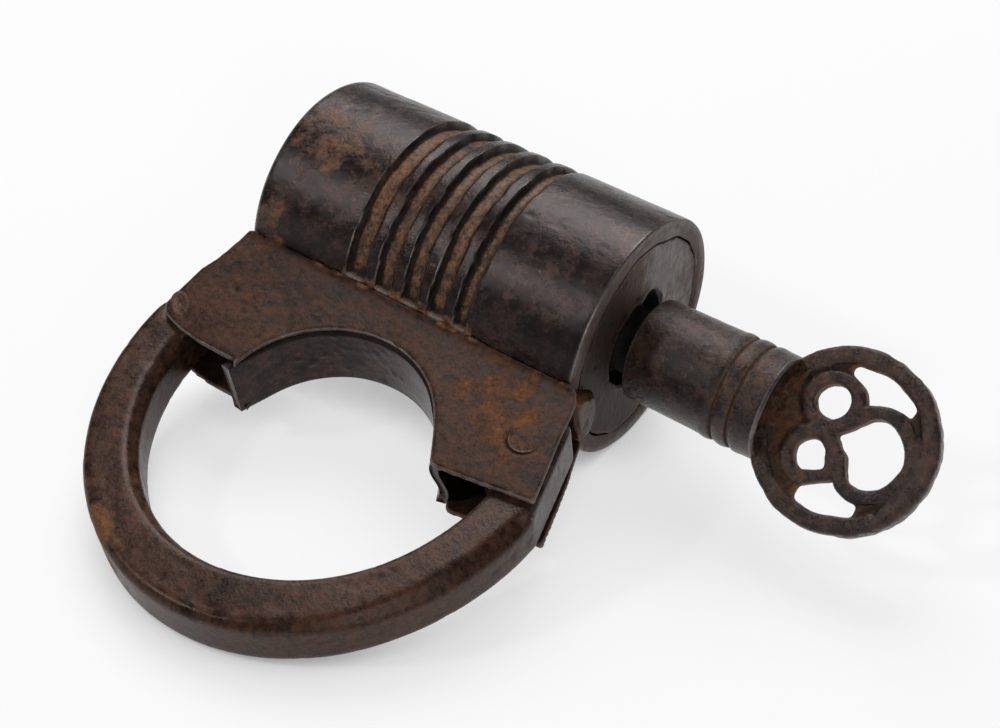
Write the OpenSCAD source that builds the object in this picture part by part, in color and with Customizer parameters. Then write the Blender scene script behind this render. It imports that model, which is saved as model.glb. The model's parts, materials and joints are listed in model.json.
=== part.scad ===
// Forged iron screw-key padlock: a barrel with its spring bolt, a flat shackle
// hinged in a side housing, and the screw key standing in its hole.
// The lock lies as it comes to rest: on the barrel's lowest line and on the
// lower edge of the shackle's bow. Lengths are in millimetres.

/* [Barrel] */
// Length of the barrel along its axis
barrel_len = 56; // [50:1:68]
// Outer diameter of the barrel
barrel_d = 36; // [32:1:44]
// Wall of the barrel
barrel_wall = 2.4; // [1.8:0.1:3]
// Thickness of the two end plates
plate_t = 3; // [2:0.5:4]
// Depth of the ring grooves
groove_depth = 1.2; // [0.6:0.1:1.5]
// Width of one ring groove at the surface
groove_w = 2.6; // [1.6:0.1:3]
// Distance from groove to groove
groove_pitch = 4.75; // [4:0.05:5.5]

/* [Housing] */
// Height of the housing's upper face above the barrel's axis
housing_top = 7.1; // [6.6:0.1:8]
// Thickness of the housing over both cheeks
housing_t = 10.5; // [9.6:0.1:11.5]
// Thickness of one cheek
cheek_t = 1; // [0.8:0.1:1.4]
// Distance of the hinge rivet below the barrel's side
hinge_drop = 15.2; // [14:0.1:17]
// Radius of the hollow between the housing's two feet
hollow_r = 15.7; // [14:0.1:17]
// Wall of the curved web
web_t = 1.3; // [1:0.1:1.8]
// Diameter of the hinge rivet
hinge_pin_d = 3.4; // [3:0.1:4]
// Diameter of the flush rivet at the toe
stay_pin_d = 4.5; // [3.5:0.1:5]

/* [Shackle] */
// How much wider over its arms the shackle's bow is than the barrel is long
bow_over = 10.6; // [8:0.1:14]
// Depth of the bow below the hinge
bow_h = 37.8; // [30:0.1:44]
// Width of the flat band at the arms
band_w = 7.1; // [5.5:0.1:7.5]
// Width of the flat band at the bottom of the bow
band_bottom_w = 8.1; // [6:0.1:9]
// Width of the horn that reaches into the barrel
horn_w = 4.2; // [3.6:0.1:4.4]

/* [Bolt] */
// Diameter of the bolt's nose pin
nose_d = 4; // [3:0.1:4.4]
// Travel of the bolt
bolt_travel = 7.5; // [7:0.1:8]
// Thickness of the piston
piston_t = 4; // [3:0.5:5]
// Wire of the bolt spring
spring_wire = 1.8; // [1.2:0.1:2.2]
// Middle diameter of the bolt spring
spring_d = 18; // [15:0.5:20]
// Turns of the bolt spring
spring_turns = 7; // [5:1:8]

/* [Key] */
// Diameter of the key's shank at its mouth
shank_d = 15.1; // [14:0.1:17]
// Length of the shank
shank_len = 21.4; // [16:0.1:26]
// Diameter of the threaded hole in the end plate
keyhole_d = 13.2; // [12:0.1:13.6]
// Diameter of the round key bow
key_bow_d = 26.6; // [22:0.1:30]
// Thickness of the key bow
key_bow_t = 3.6; // [3:0.1:4.2]
// Turn of the key bow from the housing's plane
key_bow_turn = 33; // [0:1:90]

/* [Clearances] */
// Gap on each side of the shackle between the cheeks
side_gap = 0.3; // [0.2:0.05:0.5]
// Radial play of a pin that slides or turns in its hole
pin_play = 0.08; // [0.02:0.01:0.1]
// Radial play of the piston in the barrel and of the screw in its thread
slide_play = 0.3; // [0.2:0.05:0.5]
// Gap left by the braze round plates, rivets and the key bow
braze_gap = 0.04; // [0.02:0.01:0.1]
// Gap round moving edges
edge_gap = 0.6; // [0.4:0.1:1]

/* [Hidden] */
$fn = 96;

iron = [0.24, 0.19, 0.18];
brown_iron = [0.40, 0.28, 0.20];
bare_iron = [0.46, 0.43, 0.41];
rust = [0.50, 0.31, 0.18];
spring_steel = [0.33, 0.31, 0.30];

big = 200;

// Barrel
barrel_r = barrel_d / 2;
bore_r = barrel_r - barrel_wall;
plate_r = bore_r - braze_gap;
end_x = barrel_len / 2;
groove_count = 5;
groove_wall_run = 0.7;
groove_mid = -0.2;

// Housing, seen along the barrel's axis and from above
housing_low = housing_top - housing_t;
gap_top = housing_top - cheek_t;
gap_low = housing_low + cheek_t;
seam_y = -sqrt(barrel_r * barrel_r - housing_top * housing_top);
hinge = [-end_x + 0.4, -barrel_r - hinge_drop];
stay = [end_x - 0.2, hinge[1] + 6];
hollow = [1.9, hinge[1] - 5.9];
foot_y = hinge[1] - 4;
rivet_eye_r = 3.3;

// Shackle
bow_w = barrel_len + bow_over;
bow_mid = [hinge[0] + bow_w / 2 - band_w / 2 - 0.3, hinge[1] - 0.8];
bow_a = bow_w / 2;
bow_b = bow_h;
shackle_top = gap_top - side_gap;
shackle_low = gap_low + side_gap;
shackle_t = shackle_top - shackle_low;
nose_y = -barrel_r + 6.1;
nose_z = (shackle_top + shackle_low) / 2;
horn_x = end_x - 9.3;
horn_r = norm([horn_x - hinge[0], nose_y - hinge[1]]);
horn_in = horn_r - horn_w / 2;
horn_out = horn_r + horn_w / 2;
horn_tip = 3.6;
horn_tip_angle = asin((nose_y + horn_tip - hinge[1]) / horn_r);
stay_r = norm(stay - hinge);
stay_slot_out = stay_r + stay_pin_d / 2 + pin_play + 0.2;
stay_angle = asin((stay[1] - hinge[1]) / stay_r);
stay_slot_angle = stay_angle - asin((stay_pin_d / 2 + edge_gap) / stay_r);
bow_last = 357;
toe_rise = 12.2;
toe_tip = [end_x + 3.2, hinge[1] + toe_rise];
function bow_outer(t) = bow_mid + [bow_a * cos(t), bow_b * sin(t)];
function bow_inner(t) = bow_mid + [(bow_a - band_w) * cos(t), (bow_b - band_bottom_w) * sin(t)];

// Bolt
thrust_x = 4.5;
piston_r = bore_r - slide_play;
guide_t = 1.6;
guide_x = thrust_x + bolt_travel + 0.4;
nose_end = guide_x + guide_t + 0.8;
rod_r = 2.5;
rod_gap = 1;
rod_end = -end_x + plate_t + rod_gap;
seat_t = 1.2;
spring_left = -end_x + plate_t + seat_t;
spring_right = thrust_x - piston_t;

// Key
key_y = -0.65;
key_z = -0.45;
screw_r = keyhole_d / 2 - slide_play;
mouth_gap = 1.8;
mouth_x = end_x + mouth_gap;
shank_r = shank_d / 2;
shank_end_r = shank_r + 0.2;
shank_end = mouth_x + shank_len;
ring_lift = 0.3;
ring_x = [14.4, 17.1];
ring_half = 0.6;
bow_sunk = 3.7;
key_bow_r = key_bow_d / 2;
key_bow_x = shank_end - bow_sunk + key_bow_r;

// Rest: the lock leans about its barrel until the shackle's far edge touches down
far_y = bow_mid[1] - bow_b;
far_reach = norm([far_y, shackle_low]);
lean = asin(barrel_r / far_reach) - atan(-shackle_low / -far_y);
x_low = bow_mid[0] - bow_a;
x_high = key_bow_x + key_bow_r;
y_high = barrel_r;
y_low = far_y * cos(lean) - shackle_top * sin(lean);
place = [-(x_low + x_high) / 2, -(y_low + y_high) / 2, barrel_r];

// Puts a piece made about the barrel's axis into the resting lock
module lay() {
    translate(place) rotate([lean, 0, 0]) children();
}

// A round bar along the barrel's axis from x = a to x = b
module bar(a, b, r, y = 0, z = 0) {
    translate([a, y, z]) rotate([0, 90, 0]) cylinder(h = b - a, r = r);
}

// A turned body along the barrel's axis, from points of place and radius
module turned(profile, y = 0, z = 0) {
    translate([0, y, z]) rotate([90, 0, 90]) rotate_extrude()
        polygon([for (p = profile) [p[1], p[0]]]);
}

// A flat piece between two heights above the barrel's axis
module flat_piece(low, high) {
    translate([0, 0, low]) linear_extrude(height = high - low) children();
}

// A sector of a ring about the hinge, between two radii and two angles
module hinge_arc(r_in, r_out, a, b) {
    far = 2 * r_out;
    middle = (a + b) / 2;
    translate(hinge) intersection() {
        difference() {
            circle(r = r_out);
            circle(r = r_in);
        }
        polygon([[0, 0], far * [cos(a), sin(a)], far * [cos(middle), sin(middle)],
                 far * [cos(b), sin(b)]]);
    }
}

// One ring groove, open from just above one cheek round the back to the other
module groove(x) {
    top_half = groove_w / 2;
    floor_half = top_half - groove_wall_run;
    over_half = top_half + groove_wall_run / groove_depth;
    span = 298;
    start = -150;
    rotate([start, 0, 0]) rotate([90, 0, 90]) rotate_extrude(angle = span)
        polygon([[barrel_r + 1, x - over_half], [barrel_r - groove_depth, x - floor_half],
                 [barrel_r - groove_depth, x + floor_half], [barrel_r + 1, x + over_half]]);
}

// Tube with ring grooves and the slot that lets the shackle's horn in
module barrel_tube() {
    slot_in = hinge[0] + sqrt(pow(horn_in, 2) - pow(-barrel_r - hinge[1], 2)) - 1.9;
    slot_out = hinge[0] + sqrt(pow(horn_out, 2) - pow(-barrel_r - hinge[1], 2)) + 0.6;
    color(iron) lay() difference() {
        bar(-end_x, end_x, barrel_r);
        bar(-end_x - 1, end_x + 1, bore_r);
        for (i = [0 : groove_count - 1])
            groove(groove_mid + (i - (groove_count - 1) / 2) * groove_pitch);
        translate([slot_in, -barrel_r - 1, gap_low])
            cube([slot_out - slot_in, barrel_r / 2, gap_top - gap_low]);
    }
}

module blind_end_plate() {
    color(bare_iron) lay() bar(-end_x, -end_x + plate_t, plate_r);
}

module key_end_plate() {
    color(bare_iron) lay() difference() {
        bar(end_x - plate_t, end_x, plate_r);
        bar(end_x - plate_t - 1, end_x + 1, keyhole_d / 2, key_y, key_z);
    }
}

// Diaphragm that guides the bolt's nose and stops the piston
module guide_plate() {
    color(brown_iron) lay() difference() {
        bar(guide_x, guide_x + guide_t, plate_r);
        bar(guide_x - 1, guide_x + guide_t + 1, keyhole_d / 2, key_y, key_z);
        bar(guide_x - 1, guide_x + guide_t + 1, nose_d / 2 + pin_play, nose_y, nose_z);
    }
}

// Outline of a cheek, before the hollow between its feet and the barrel are cut
module cheek_outline() {
    difference() {
        union() {
            polygon([[-end_x - 0.6, seam_y + 6], [-end_x - 0.6, seam_y - 3],
                     [-end_x - 1.3, seam_y - 8], [-end_x - 1.6, hinge[1] + 5],
                     [hinge[0] - rivet_eye_r + 0.4, hinge[1]], [hinge[0] + 1, hinge[1] - rivet_eye_r + 0.3],
                     [-end_x + 4, foot_y + 0.4], [hollow[0] - hollow_r - 5, foot_y],
                     [hollow[0] - hollow_r - 0.7, foot_y + 0.6], [hollow[0], foot_y - 1],
                     [hollow[0] + hollow_r + 1.8, foot_y], [end_x - 0.9, foot_y + 1],
                     [end_x + 6.8, hinge[1] - 1.9], [end_x + 4, seam_y - 8.5],
                     [end_x + 2.9, seam_y - 3.8], [end_x + 1.9, seam_y - 1.2],
                     [end_x - 0.5, seam_y + 1.5], [end_x - 0.5, seam_y + 6]]);
            translate(hinge) circle(r = rivet_eye_r - 0.8);
        }
        translate(hollow) circle(r = hollow_r);
        // the right side of the hollow opens out towards its foot
        polygon([hollow + [hollow_r * 0.7, hollow_r * 0.72], hollow + [hollow_r * 1.12, -6],
                 hollow + [0, -6]]);
    }
}

module cheek(low, high) {
    difference() {
        flat_piece(low, high) cheek_outline();
        bar(-big, big, barrel_r + braze_gap);
        for (p = [[hinge, hinge_pin_d], [stay, stay_pin_d]])
            translate([p[0][0], p[0][1], low - 1]) cylinder(h = high - low + 2, r = p[1] / 2 + braze_gap);
    }
}

module upper_cheek() {
    color(brown_iron) lay() cheek(gap_top, housing_top);
}

module lower_cheek() {
    color(brown_iron) lay() cheek(housing_low, gap_low);
}

// Curved wall between the cheeks, along the hollow, with flared ends
module housing_web() {
    steps = 28;
    from = 14;
    to = 174;
    reach = function (t) hollow_r + 1.6 * pow(max(0, 1 - (t - from) / 40), 2);
    color(brown_iron) lay() flat_piece(gap_low, gap_top) translate(hollow) polygon(concat(
        [for (i = [0 : steps]) let (t = from + (to - from) * i / steps)
            reach(t) * [cos(t), sin(t)]],
        [for (i = [0 : steps]) let (t = to + (from - to) * i / steps)
            (reach(t) + web_t) * [cos(t), sin(t)]]));
}

// Block between the cheeks that closes the housing above the shackle's toe
module toe_guard() {
    color(brown_iron) lay() difference() {
        translate([end_x - 3.2, 0, 0]) rotate([90, 0, 90]) linear_extrude(height = 5.6)
            polygon([[seam_y + 4, gap_low], [seam_y - 1.6, gap_low],
                     [seam_y - 2, gap_top - 2], [seam_y - 1.6, gap_top], [seam_y + 4, gap_top]]);
        bar(-big, end_x, barrel_r + braze_gap);
        translate([0, seam_y + 3.1, gap_low - 1]) cube([big, big, big]);
    }
}

// Rivet through both cheeks with a domed head at each end
module hinge_rivet() {
    head_r = hinge_pin_d / 2 + 0.5;
    head_h = 0.5;
    color(bare_iron) lay() translate([hinge[0], hinge[1], 0]) rotate_extrude()
        polygon([[0, housing_low - head_h], [head_r * 0.6, housing_low - head_h * 0.8],
                 [head_r, housing_low], [hinge_pin_d / 2, housing_low],
                 [hinge_pin_d / 2, housing_top], [head_r, housing_top],
                 [head_r * 0.6, housing_top + head_h * 0.8], [0, housing_top + head_h]]);
}

// Rivet filed flush with both cheeks, which the shackle's toe straddles
module stay_rivet() {
    color(rust) lay() translate([stay[0], stay[1], housing_low])
        cylinder(h = housing_t, r = stay_pin_d / 2);
}

// Bow of the shackle: the band between two half ellipses below the hinge
module bow_outline() {
    steps = 48;
    span = bow_last - 180;
    polygon(concat(
        [for (i = [0 : steps]) bow_outer(180 + span * i / steps)],
        [for (i = [0 : steps]) bow_inner(bow_last - span * i / steps)]));
}

// Toe of the shackle: a horn into the barrel and a tongue outside the stay rivet
module toe_outline() {
    outer_end = bow_outer(bow_last);
    inner_end = bow_inner(bow_last);
    difference() {
        union() {
            difference() {
                polygon([inner_end, inner_end + [1, -2], outer_end + [-1.5, -2], outer_end,
                         toe_tip, [toe_tip[0] - 2.2, toe_tip[1] + 0.3],
                         hinge + [horn_in * cos(horn_tip_angle), toe_rise],
                         hinge + [horn_in, 3]]);
                translate(hinge) circle(r = horn_in);
            }
            hinge_arc(horn_in, horn_out, 5, horn_tip_angle);
        }
        hinge_arc(horn_out, stay_slot_out, stay_slot_angle, horn_tip_angle + 5);
    }
}

module shackle() {
    color(iron) lay() difference() {
        flat_piece(shackle_low, shackle_top) union() {
            bow_outline();
            translate(hinge) circle(r = band_w / 2);
            toe_outline();
        }
        translate([hinge[0], hinge[1], shackle_low - 1])
            cylinder(h = shackle_t + 2, r = hinge_pin_d / 2 + pin_play);
        bar(guide_x, end_x, nose_d / 2 + pin_play + 0.1, nose_y, nose_z);
    }
}

module bolt_piston() {
    color(bare_iron) lay() bar(thrust_x - piston_t, thrust_x, piston_r);
}

module bolt_nose() {
    taper = 0.8;
    color(bare_iron) lay() turned([[thrust_x, 0], [thrust_x, nose_d / 2],
        [nose_end - taper, nose_d / 2], [nose_end, nose_d / 2 - taper], [nose_end, 0]],
        nose_y, nose_z);
}

module bolt_guide_rod() {
    color(bare_iron) lay() bar(rod_end, spring_right, rod_r);
}

module spring_seat() {
    color(bare_iron) lay() difference() {
        bar(-end_x + plate_t, spring_left, spring_d / 2 + spring_wire);
        bar(-end_x, 0, rod_r + 1);
    }
}

// Coil spring: a ring of points carried along a helix with flattened end turns
module bolt_spring() {
    sides = 8;
    per_turn = 18;
    rings = spring_turns * per_turn;
    wire = spring_wire / 2;
    low = spring_left + wire;
    high = spring_right - wire;
    mid_r = spring_d / 2;
    centre = function (i) let (t = i / rings, a = 360 * spring_turns * t)
        [low + (high - low) * t, mid_r * cos(a), mid_r * sin(a)];
    points = [for (i = [0 : rings]) let (c = centre(i), a = 360 * spring_turns * i / rings)
        for (k = [0 : sides - 1]) let (b = 360 * k / sides)
            c + [wire * sin(b), wire * cos(b) * cos(a), wire * cos(b) * sin(a)]];
    walls = [for (i = [0 : rings - 1]) for (k = [0 : sides - 1]) let (n = (k + 1) % sides)
        [i * sides + k, i * sides + n, (i + 1) * sides + n, (i + 1) * sides + k]];
    ends = [[for (k = [sides - 1 : -1 : 0]) k], [for (k = [0 : sides - 1]) rings * sides + k]];
    color(spring_steel) lay() polyhedron(points = points, faces = concat(walls, ends));
}

// Threaded tip of the key, from the thrust face to the shank
module key_screw() {
    color(bare_iron) lay() bar(thrust_x, mouth_x, screw_r, key_y, key_z);
}

// Outline of the key bow with its pierced openings, in its own plane
module key_bow_outline() {
    s = key_bow_r / 13.3;
    difference() {
        circle(r = key_bow_r);
        for (side = [-1, 1]) translate(s * [-3.9, side * 4]) circle(r = 2.1 * s);
        scale([s, s]) {
            // pointed opening at the rim side
            polygon(concat([[-1.3, 0.3]],
                [for (i = [0 : 16]) let (t = -125 + 250 * i / 16) [4.4 + 4.2 * cos(t), 4.2 * sin(t)]]));
            // crescents along the rim
            for (side = [-1, 1]) polygon(concat(
                [for (i = [0 : 10]) let (t = 112 - 66 * i / 10) [9.9 * cos(t), side * 9.9 * sin(t)]],
                [[2.6, side * 6.2], [0.4, side * 6]]));
        }
    }
}

module key_bow_place() {
    translate([key_bow_x, key_y, key_z]) rotate([key_bow_turn, 0, 0])
        translate([0, 0, -key_bow_t / 2]) children();
}

module key_shank() {
    color(iron) lay() difference() {
        turned(concat([[mouth_x, 0], [mouth_x, shank_r - 0.6], [mouth_x + 0.6, shank_r]],
            [for (x = ring_x) for (e = [[-ring_half, 0], [-ring_half / 2, ring_lift],
                                        [ring_half / 2, ring_lift], [ring_half, 0]])
                [mouth_x + x + e[0], shank_r + 0.2 * x / shank_len + e[1]]],
            [[shank_end - 0.8, shank_end_r], [shank_end, shank_end_r - 0.8], [shank_end, 0]]),
            key_y, key_z);
        key_bow_place() cylinder(h = key_bow_t, r = key_bow_r + braze_gap);
    }
}

module key_bow() {
    color(iron) lay() key_bow_place() linear_extrude(height = key_bow_t) key_bow_outline();
}

barrel_tube();
blind_end_plate();
key_end_plate();
guide_plate();
upper_cheek();
lower_cheek();
housing_web();
toe_guard();
hinge_rivet();
stay_rivet();
shackle();
bolt_piston();
bolt_nose();
bolt_guide_rod();
spring_seat();
bolt_spring();
key_screw();
key_shank();
key_bow();
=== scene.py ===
import json
import math
import bpy
import numpy as np
from mathutils import Matrix, Vector


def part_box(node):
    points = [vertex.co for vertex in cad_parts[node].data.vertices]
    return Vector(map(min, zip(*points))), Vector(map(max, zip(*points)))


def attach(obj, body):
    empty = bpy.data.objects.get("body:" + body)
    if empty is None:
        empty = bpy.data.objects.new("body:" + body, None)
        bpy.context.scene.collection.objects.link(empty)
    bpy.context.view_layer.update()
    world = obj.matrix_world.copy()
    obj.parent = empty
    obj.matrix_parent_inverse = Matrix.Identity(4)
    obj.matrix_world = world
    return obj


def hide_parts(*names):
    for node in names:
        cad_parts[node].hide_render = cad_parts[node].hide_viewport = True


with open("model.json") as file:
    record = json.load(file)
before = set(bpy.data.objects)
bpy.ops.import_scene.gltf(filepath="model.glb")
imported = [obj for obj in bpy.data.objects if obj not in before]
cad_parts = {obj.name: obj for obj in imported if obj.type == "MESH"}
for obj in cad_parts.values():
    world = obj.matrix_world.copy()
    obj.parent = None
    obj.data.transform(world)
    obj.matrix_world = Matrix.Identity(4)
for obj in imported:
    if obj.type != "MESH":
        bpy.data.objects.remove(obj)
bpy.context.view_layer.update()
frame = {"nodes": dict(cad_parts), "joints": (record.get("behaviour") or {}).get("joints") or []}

bl_info = {
    "name": "Forged screw-key padlock",
    "version": (1, 0, 0),
    "blender": (4, 5, 0),
    "location": "View3D > Sidebar > Padlock",
    "description": "An old rusty iron barrel padlock with its screw key, built about its packed frame",
    "category": "Object",
}

MM = 0.001

# ---------------------------------------------------------------- the lock's own frame
# The pieces are worked out about the barrel's axis, in millimetres: X along the barrel
# towards the key, Y away from the shackle, Z square to the housing's flat faces.

JOINTS = {joint["name"]: joint for joint in frame["joints"]}


def lock_to_row():
    """The turn and place of the lying lock: a lean about X, then a move to the barrel's middle."""
    axis = JOINTS["shackle_swing"]["axis"]
    low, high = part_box("barrel_tube")
    lean = math.atan2(axis[1], -axis[2])
    return Matrix.Translation((low + high) / 2) @ Matrix.Rotation(lean, 4, "X")


TO_ROW = lock_to_row()


def in_lock(point):
    """A row-frame point in metres as a lock-frame point in millimetres."""
    return np.array(TO_ROW.inverted() @ Vector(point)) / MM


def node_size(node):
    """Half the height of a round node's box, and its length along X, in millimetres."""
    low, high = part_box(node)
    return (high.z - low.z) / 2 / MM, (high.x - low.x) / MM


BARREL_R, BARREL_L = node_size("barrel_tube")
PLATE_R, PLATE_T = node_size("key_end_plate")
SCREW_R, SCREW_L = node_size("key_screw")
HINGE = in_lock(JOINTS["shackle_swing"]["pos_m"])
KEY_AXIS = in_lock(JOINTS["key_turn"]["pos_m"])
END_X = BARREL_L / 2


# ---------------------------------------------------------------- sizes and colours

def length(name, description, default):
    """A length that a user may change, in metres as Blender holds it, given in millimetres."""
    return bpy.props.FloatProperty(name=name, description=description, default=default * MM,
                                   min=0.0, precision=5, unit="LENGTH")


def colour(name, description, default):
    """A linear colour that a user may change."""
    return bpy.props.FloatVectorProperty(name=name, description=description, default=default,
                                         size=3, min=0.0, max=1.0, subtype="COLOR")


def angle(name, description, default):
    """An angle that a user may change, given in degrees."""
    return bpy.props.FloatProperty(name=name, description=description, default=math.radians(default),
                                   subtype="ANGLE")


class PadlockSizes(bpy.types.PropertyGroup):
    """Sizes of the visible forging work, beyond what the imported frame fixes."""
    groove_depth: length("Groove depth", "Depth of the barrel's ring grooves", 1.25)
    wall: length("Barrel wall", "Wall of the barrel tube", 2.4)
    housing_top: length("Housing top", "Height of the upper cheek above the barrel's axis", 7.1)
    housing_depth: length("Housing depth", "Depth of the housing over both cheeks", 10.5)
    cheek: length("Cheek", "Thickness of a cheek", 1.0)
    web: length("Web", "Thickness of the curved web", 1.3)
    keyhole: length("Keyhole", "Radius of the key's hole", 6.6)
    shackle_gap: length("Shackle gap", "Gap between the shackle and a cheek", 0.3)
    bow_rim: length("Key bow rim", "Width of the key bow's round rim", 3.0)
    bow_thick: length("Key bow thickness", "Thickness of the key bow", 3.5)
    thread_pitch: length("Thread pitch", "Pitch of the key's screw", 2.5)
    hammer: length("Hammer marks", "Depth of the broad hammer marks", 0.16)
    pits: length("Pits", "Depth of the rust pits", 0.12)


class PadlockColours(bpy.types.PropertyGroup):
    """Colours of the iron, its patina and its rust."""
    iron: colour("Iron", "Dark patina", (0.020, 0.0115, 0.0105))
    brown: colour("Brown", "Brown patina", (0.078, 0.0335, 0.0185))
    rust: colour("Rust", "Dry rust", (0.128, 0.054, 0.0245))
    orange: colour("Orange rust", "Fresh rust", (0.250, 0.092, 0.029))
    steel: colour("Bare metal", "Rubbed edges and filed faces", (0.200, 0.176, 0.165))
    # This dark colour also paints shade: it fills the places each piece marks dark, among them painted shade
    # on the cheeks' inner faces, on groove walls and in gaps.
    grime_and_shade: colour("Grime", "Dirt in the hollows", (0.009, 0.007, 0.006))
    dust: colour("Dust", "Dry rust dust in the grooves", (0.262, 0.118, 0.058))


class PadlockStage(bpy.types.PropertyGroup):
    """Camera and floor."""
    azimuth: angle("Azimuth", "Camera azimuth about the housing's plane", 41.27)
    elevation: angle("Elevation", "Camera height above the housing's plane", 50.30)
    roll: angle("Roll", "Camera roll", -7.818)
    distance: length("Distance", "Camera distance from its aim", 276.7)
    lens: bpy.props.FloatProperty(name="Lens", description="Focal length in millimetres", default=71.07)
    floor: colour("Floor", "Pale floor", (0.92, 0.92, 0.925))


def size(key):
    """A size that a user may change, in millimetres."""
    return getattr(bpy.context.scene.padlock_sizes, key) / MM


def housing_span():
    """The heights of the housing's underside and top."""
    top = size("housing_top")
    return top - size("housing_depth"), top


# ---------------------------------------------------------------- numpy helpers

# Widths of the forging's marks: hammer blows, pits and the places where pits gather, fine grain, and
# the length over which an edge's wear changes. EDGE_WEAR is the wear for each unit of bulge.
HAMMER_SIZE, PIT_SIZE, PIT_SPREAD, GRAIN_SIZE, WEAR_SIZE = 8.0, 1.5, 7.0, 0.9, 5.0
EDGE_WEAR = 0.22

# How finely the surfaces are made: steps about an axis, and the cells of the carved pieces' grids.
BARREL_TURNS, PLATE_TURNS, BLIND_TURNS = 320, 260, 200
RIVET_TURNS, SCREW_TURNS, SHANK_TURNS = 96, 96, 220
CHEEK_CELL, SHIELD_CELL, SHACKLE_CELL, BOW_CELL = 0.26, 0.22, 0.38, 0.27
AXIS_R = 0.02  # radius at which a turned piece closes on its axis


def smooth(x, low, high):
    """0 below low, 1 above high, and 3t^2 - 2t^3 between them."""
    t = np.clip((x - low) / (high - low), 0.0, 1.0)
    return t * t * (3.0 - 2.0 * t)


def bell(x, middle, width):
    """A bell curve: exp of minus the squared distance from the middle over the width."""
    return np.exp(-((x - middle) / width) ** 2)


def lattice(cell, seed):
    """A repeatable number from 0 to 1 for each whole-number point, by an integer hash."""
    a = cell.astype(np.int64).astype(np.uint32)
    h = a[..., 0] * np.uint32(374761393) + a[..., 1] * np.uint32(668265263)
    h = h + a[..., 2] * np.uint32(2246822519) + np.uint32(seed * 40503 + 77)
    h = (h ^ (h >> np.uint32(13))) * np.uint32(1274126177)
    return ((h ^ (h >> np.uint32(16))) & np.uint32(0xFFFFFF)) / float(0x1000000)


def noise(points, size, seed):
    """Value noise from -1 to 1: hashed lattice values, size millimetres apart, blended smoothly."""
    q = points / size
    base = np.floor(q)
    f = q - base
    f = f * f * (3.0 - 2.0 * f)
    total = 0.0
    for corner in np.ndindex(2, 2, 2):
        c = np.array(corner)
        weight = np.prod(np.where(c == 1, f, 1.0 - f), axis=-1)
        total = total + weight * lattice(base + c, seed)
    return 2.0 * total - 1.0


def turbulence(points, size, seed, octaves=3):
    """Noise plus ever finer noise, each octave half as wide and half as deep."""
    return sum(noise(points, size / 2 ** k, seed + k) / 2 ** k for k in range(octaves))


def grid_faces(rows, columns, wrap_rows=False, wrap_columns=False):
    """Quads of a grid of rows x columns points, with either way closed on itself if asked."""
    i = np.arange(rows if wrap_rows else rows - 1)
    j = np.arange(columns if wrap_columns else columns - 1)
    i, j = np.meshgrid(i, j, indexing="ij")
    i2, j2 = (i + 1) % rows, (j + 1) % columns
    quads = np.stack([i * columns + j, i2 * columns + j, i2 * columns + j2, i * columns + j2], axis=-1)
    return quads.reshape(-1, 4)


def turned(profile, turns, centre=(0.0, 0.0), shape=None):
    """A closed surface turned about X: the loop of (x, radius) points, carried round in equal turns.
    shape(x, radius, angle) may return a changed x and radius for the whole grid."""
    x = profile[:, 0][:, None] + np.zeros(turns)
    r = profile[:, 1][:, None] + np.zeros(turns)
    angle = np.zeros_like(x) + np.linspace(0.0, 2.0 * np.pi, turns, endpoint=False)
    if shape is not None:
        x, r = shape(x, r, angle)
    points = np.stack([x, centre[0] + r * np.cos(angle), centre[1] + r * np.sin(angle)], axis=-1)
    return points.reshape(-1, 3), grid_faces(len(profile), turns, wrap_rows=True, wrap_columns=True)


def along(*stations, step=0.35):
    """A line of points through the stations, at about equal steps, without its last point."""
    parts = []
    for a, b in zip(stations[:-1], stations[1:]):
        a, b = np.array(a, float), np.array(b, float)
        count = max(1, int(round(np.linalg.norm(b - a) / step)))
        parts.append(a + (b - a) * np.arange(count)[:, None] / count)
    return np.concatenate(parts)


def arc(centre, radii, start, end, count):
    """Points of an ellipse arc between two angles in degrees, both ends included."""
    t = np.radians(np.linspace(start, end, count))
    return np.stack([centre[0] + radii[0] * np.cos(t), centre[1] + radii[1] * np.sin(t)], axis=-1)


def outline_distance(points, outline):
    """Distance from each 2-D point to a closed outline, negative inside: the nearest point of each
    side in turn, with the sign from how often a ray to the right crosses the outline."""
    best = np.full(len(points), 1e18)
    inside = np.zeros(len(points), bool)
    for a, b in zip(outline, np.roll(outline, -1, axis=0)):
        side = b - a
        if not side.any():
            continue
        t = np.clip(((points - a) @ side) / (side @ side), 0.0, 1.0)
        best = np.minimum(best, ((points - a - t[:, None] * side) ** 2).sum(1))
        if a[1] != b[1]:
            crosses = (a[1] > points[:, 1]) != (b[1] > points[:, 1])
            x = a[0] + (points[:, 1] - a[1]) * side[0] / side[1]
            inside ^= crosses & (points[:, 0] < x)
    return np.where(inside, -1.0, 1.0) * np.sqrt(best)


def flat_field(outline, low, high, cell):
    """Grid of (x, y) points over an outline's box and the signed distance to it there."""
    margin = 2.0 * cell
    x = np.arange(outline[:, 0].min() - margin, outline[:, 0].max() + 2 * margin, cell)
    y = np.arange(outline[:, 1].min() - margin, outline[:, 1].max() + 2 * margin, cell)
    z = np.arange(low - margin, high + 2 * margin, cell)
    flat = np.stack(np.meshgrid(x, y, indexing="ij"), axis=-1)
    distance = outline_distance(flat.reshape(-1, 2), outline).reshape(flat.shape[:2])
    return x[:, None, None], y[None, :, None], z[None, None, :], distance[:, :, None]


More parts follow.
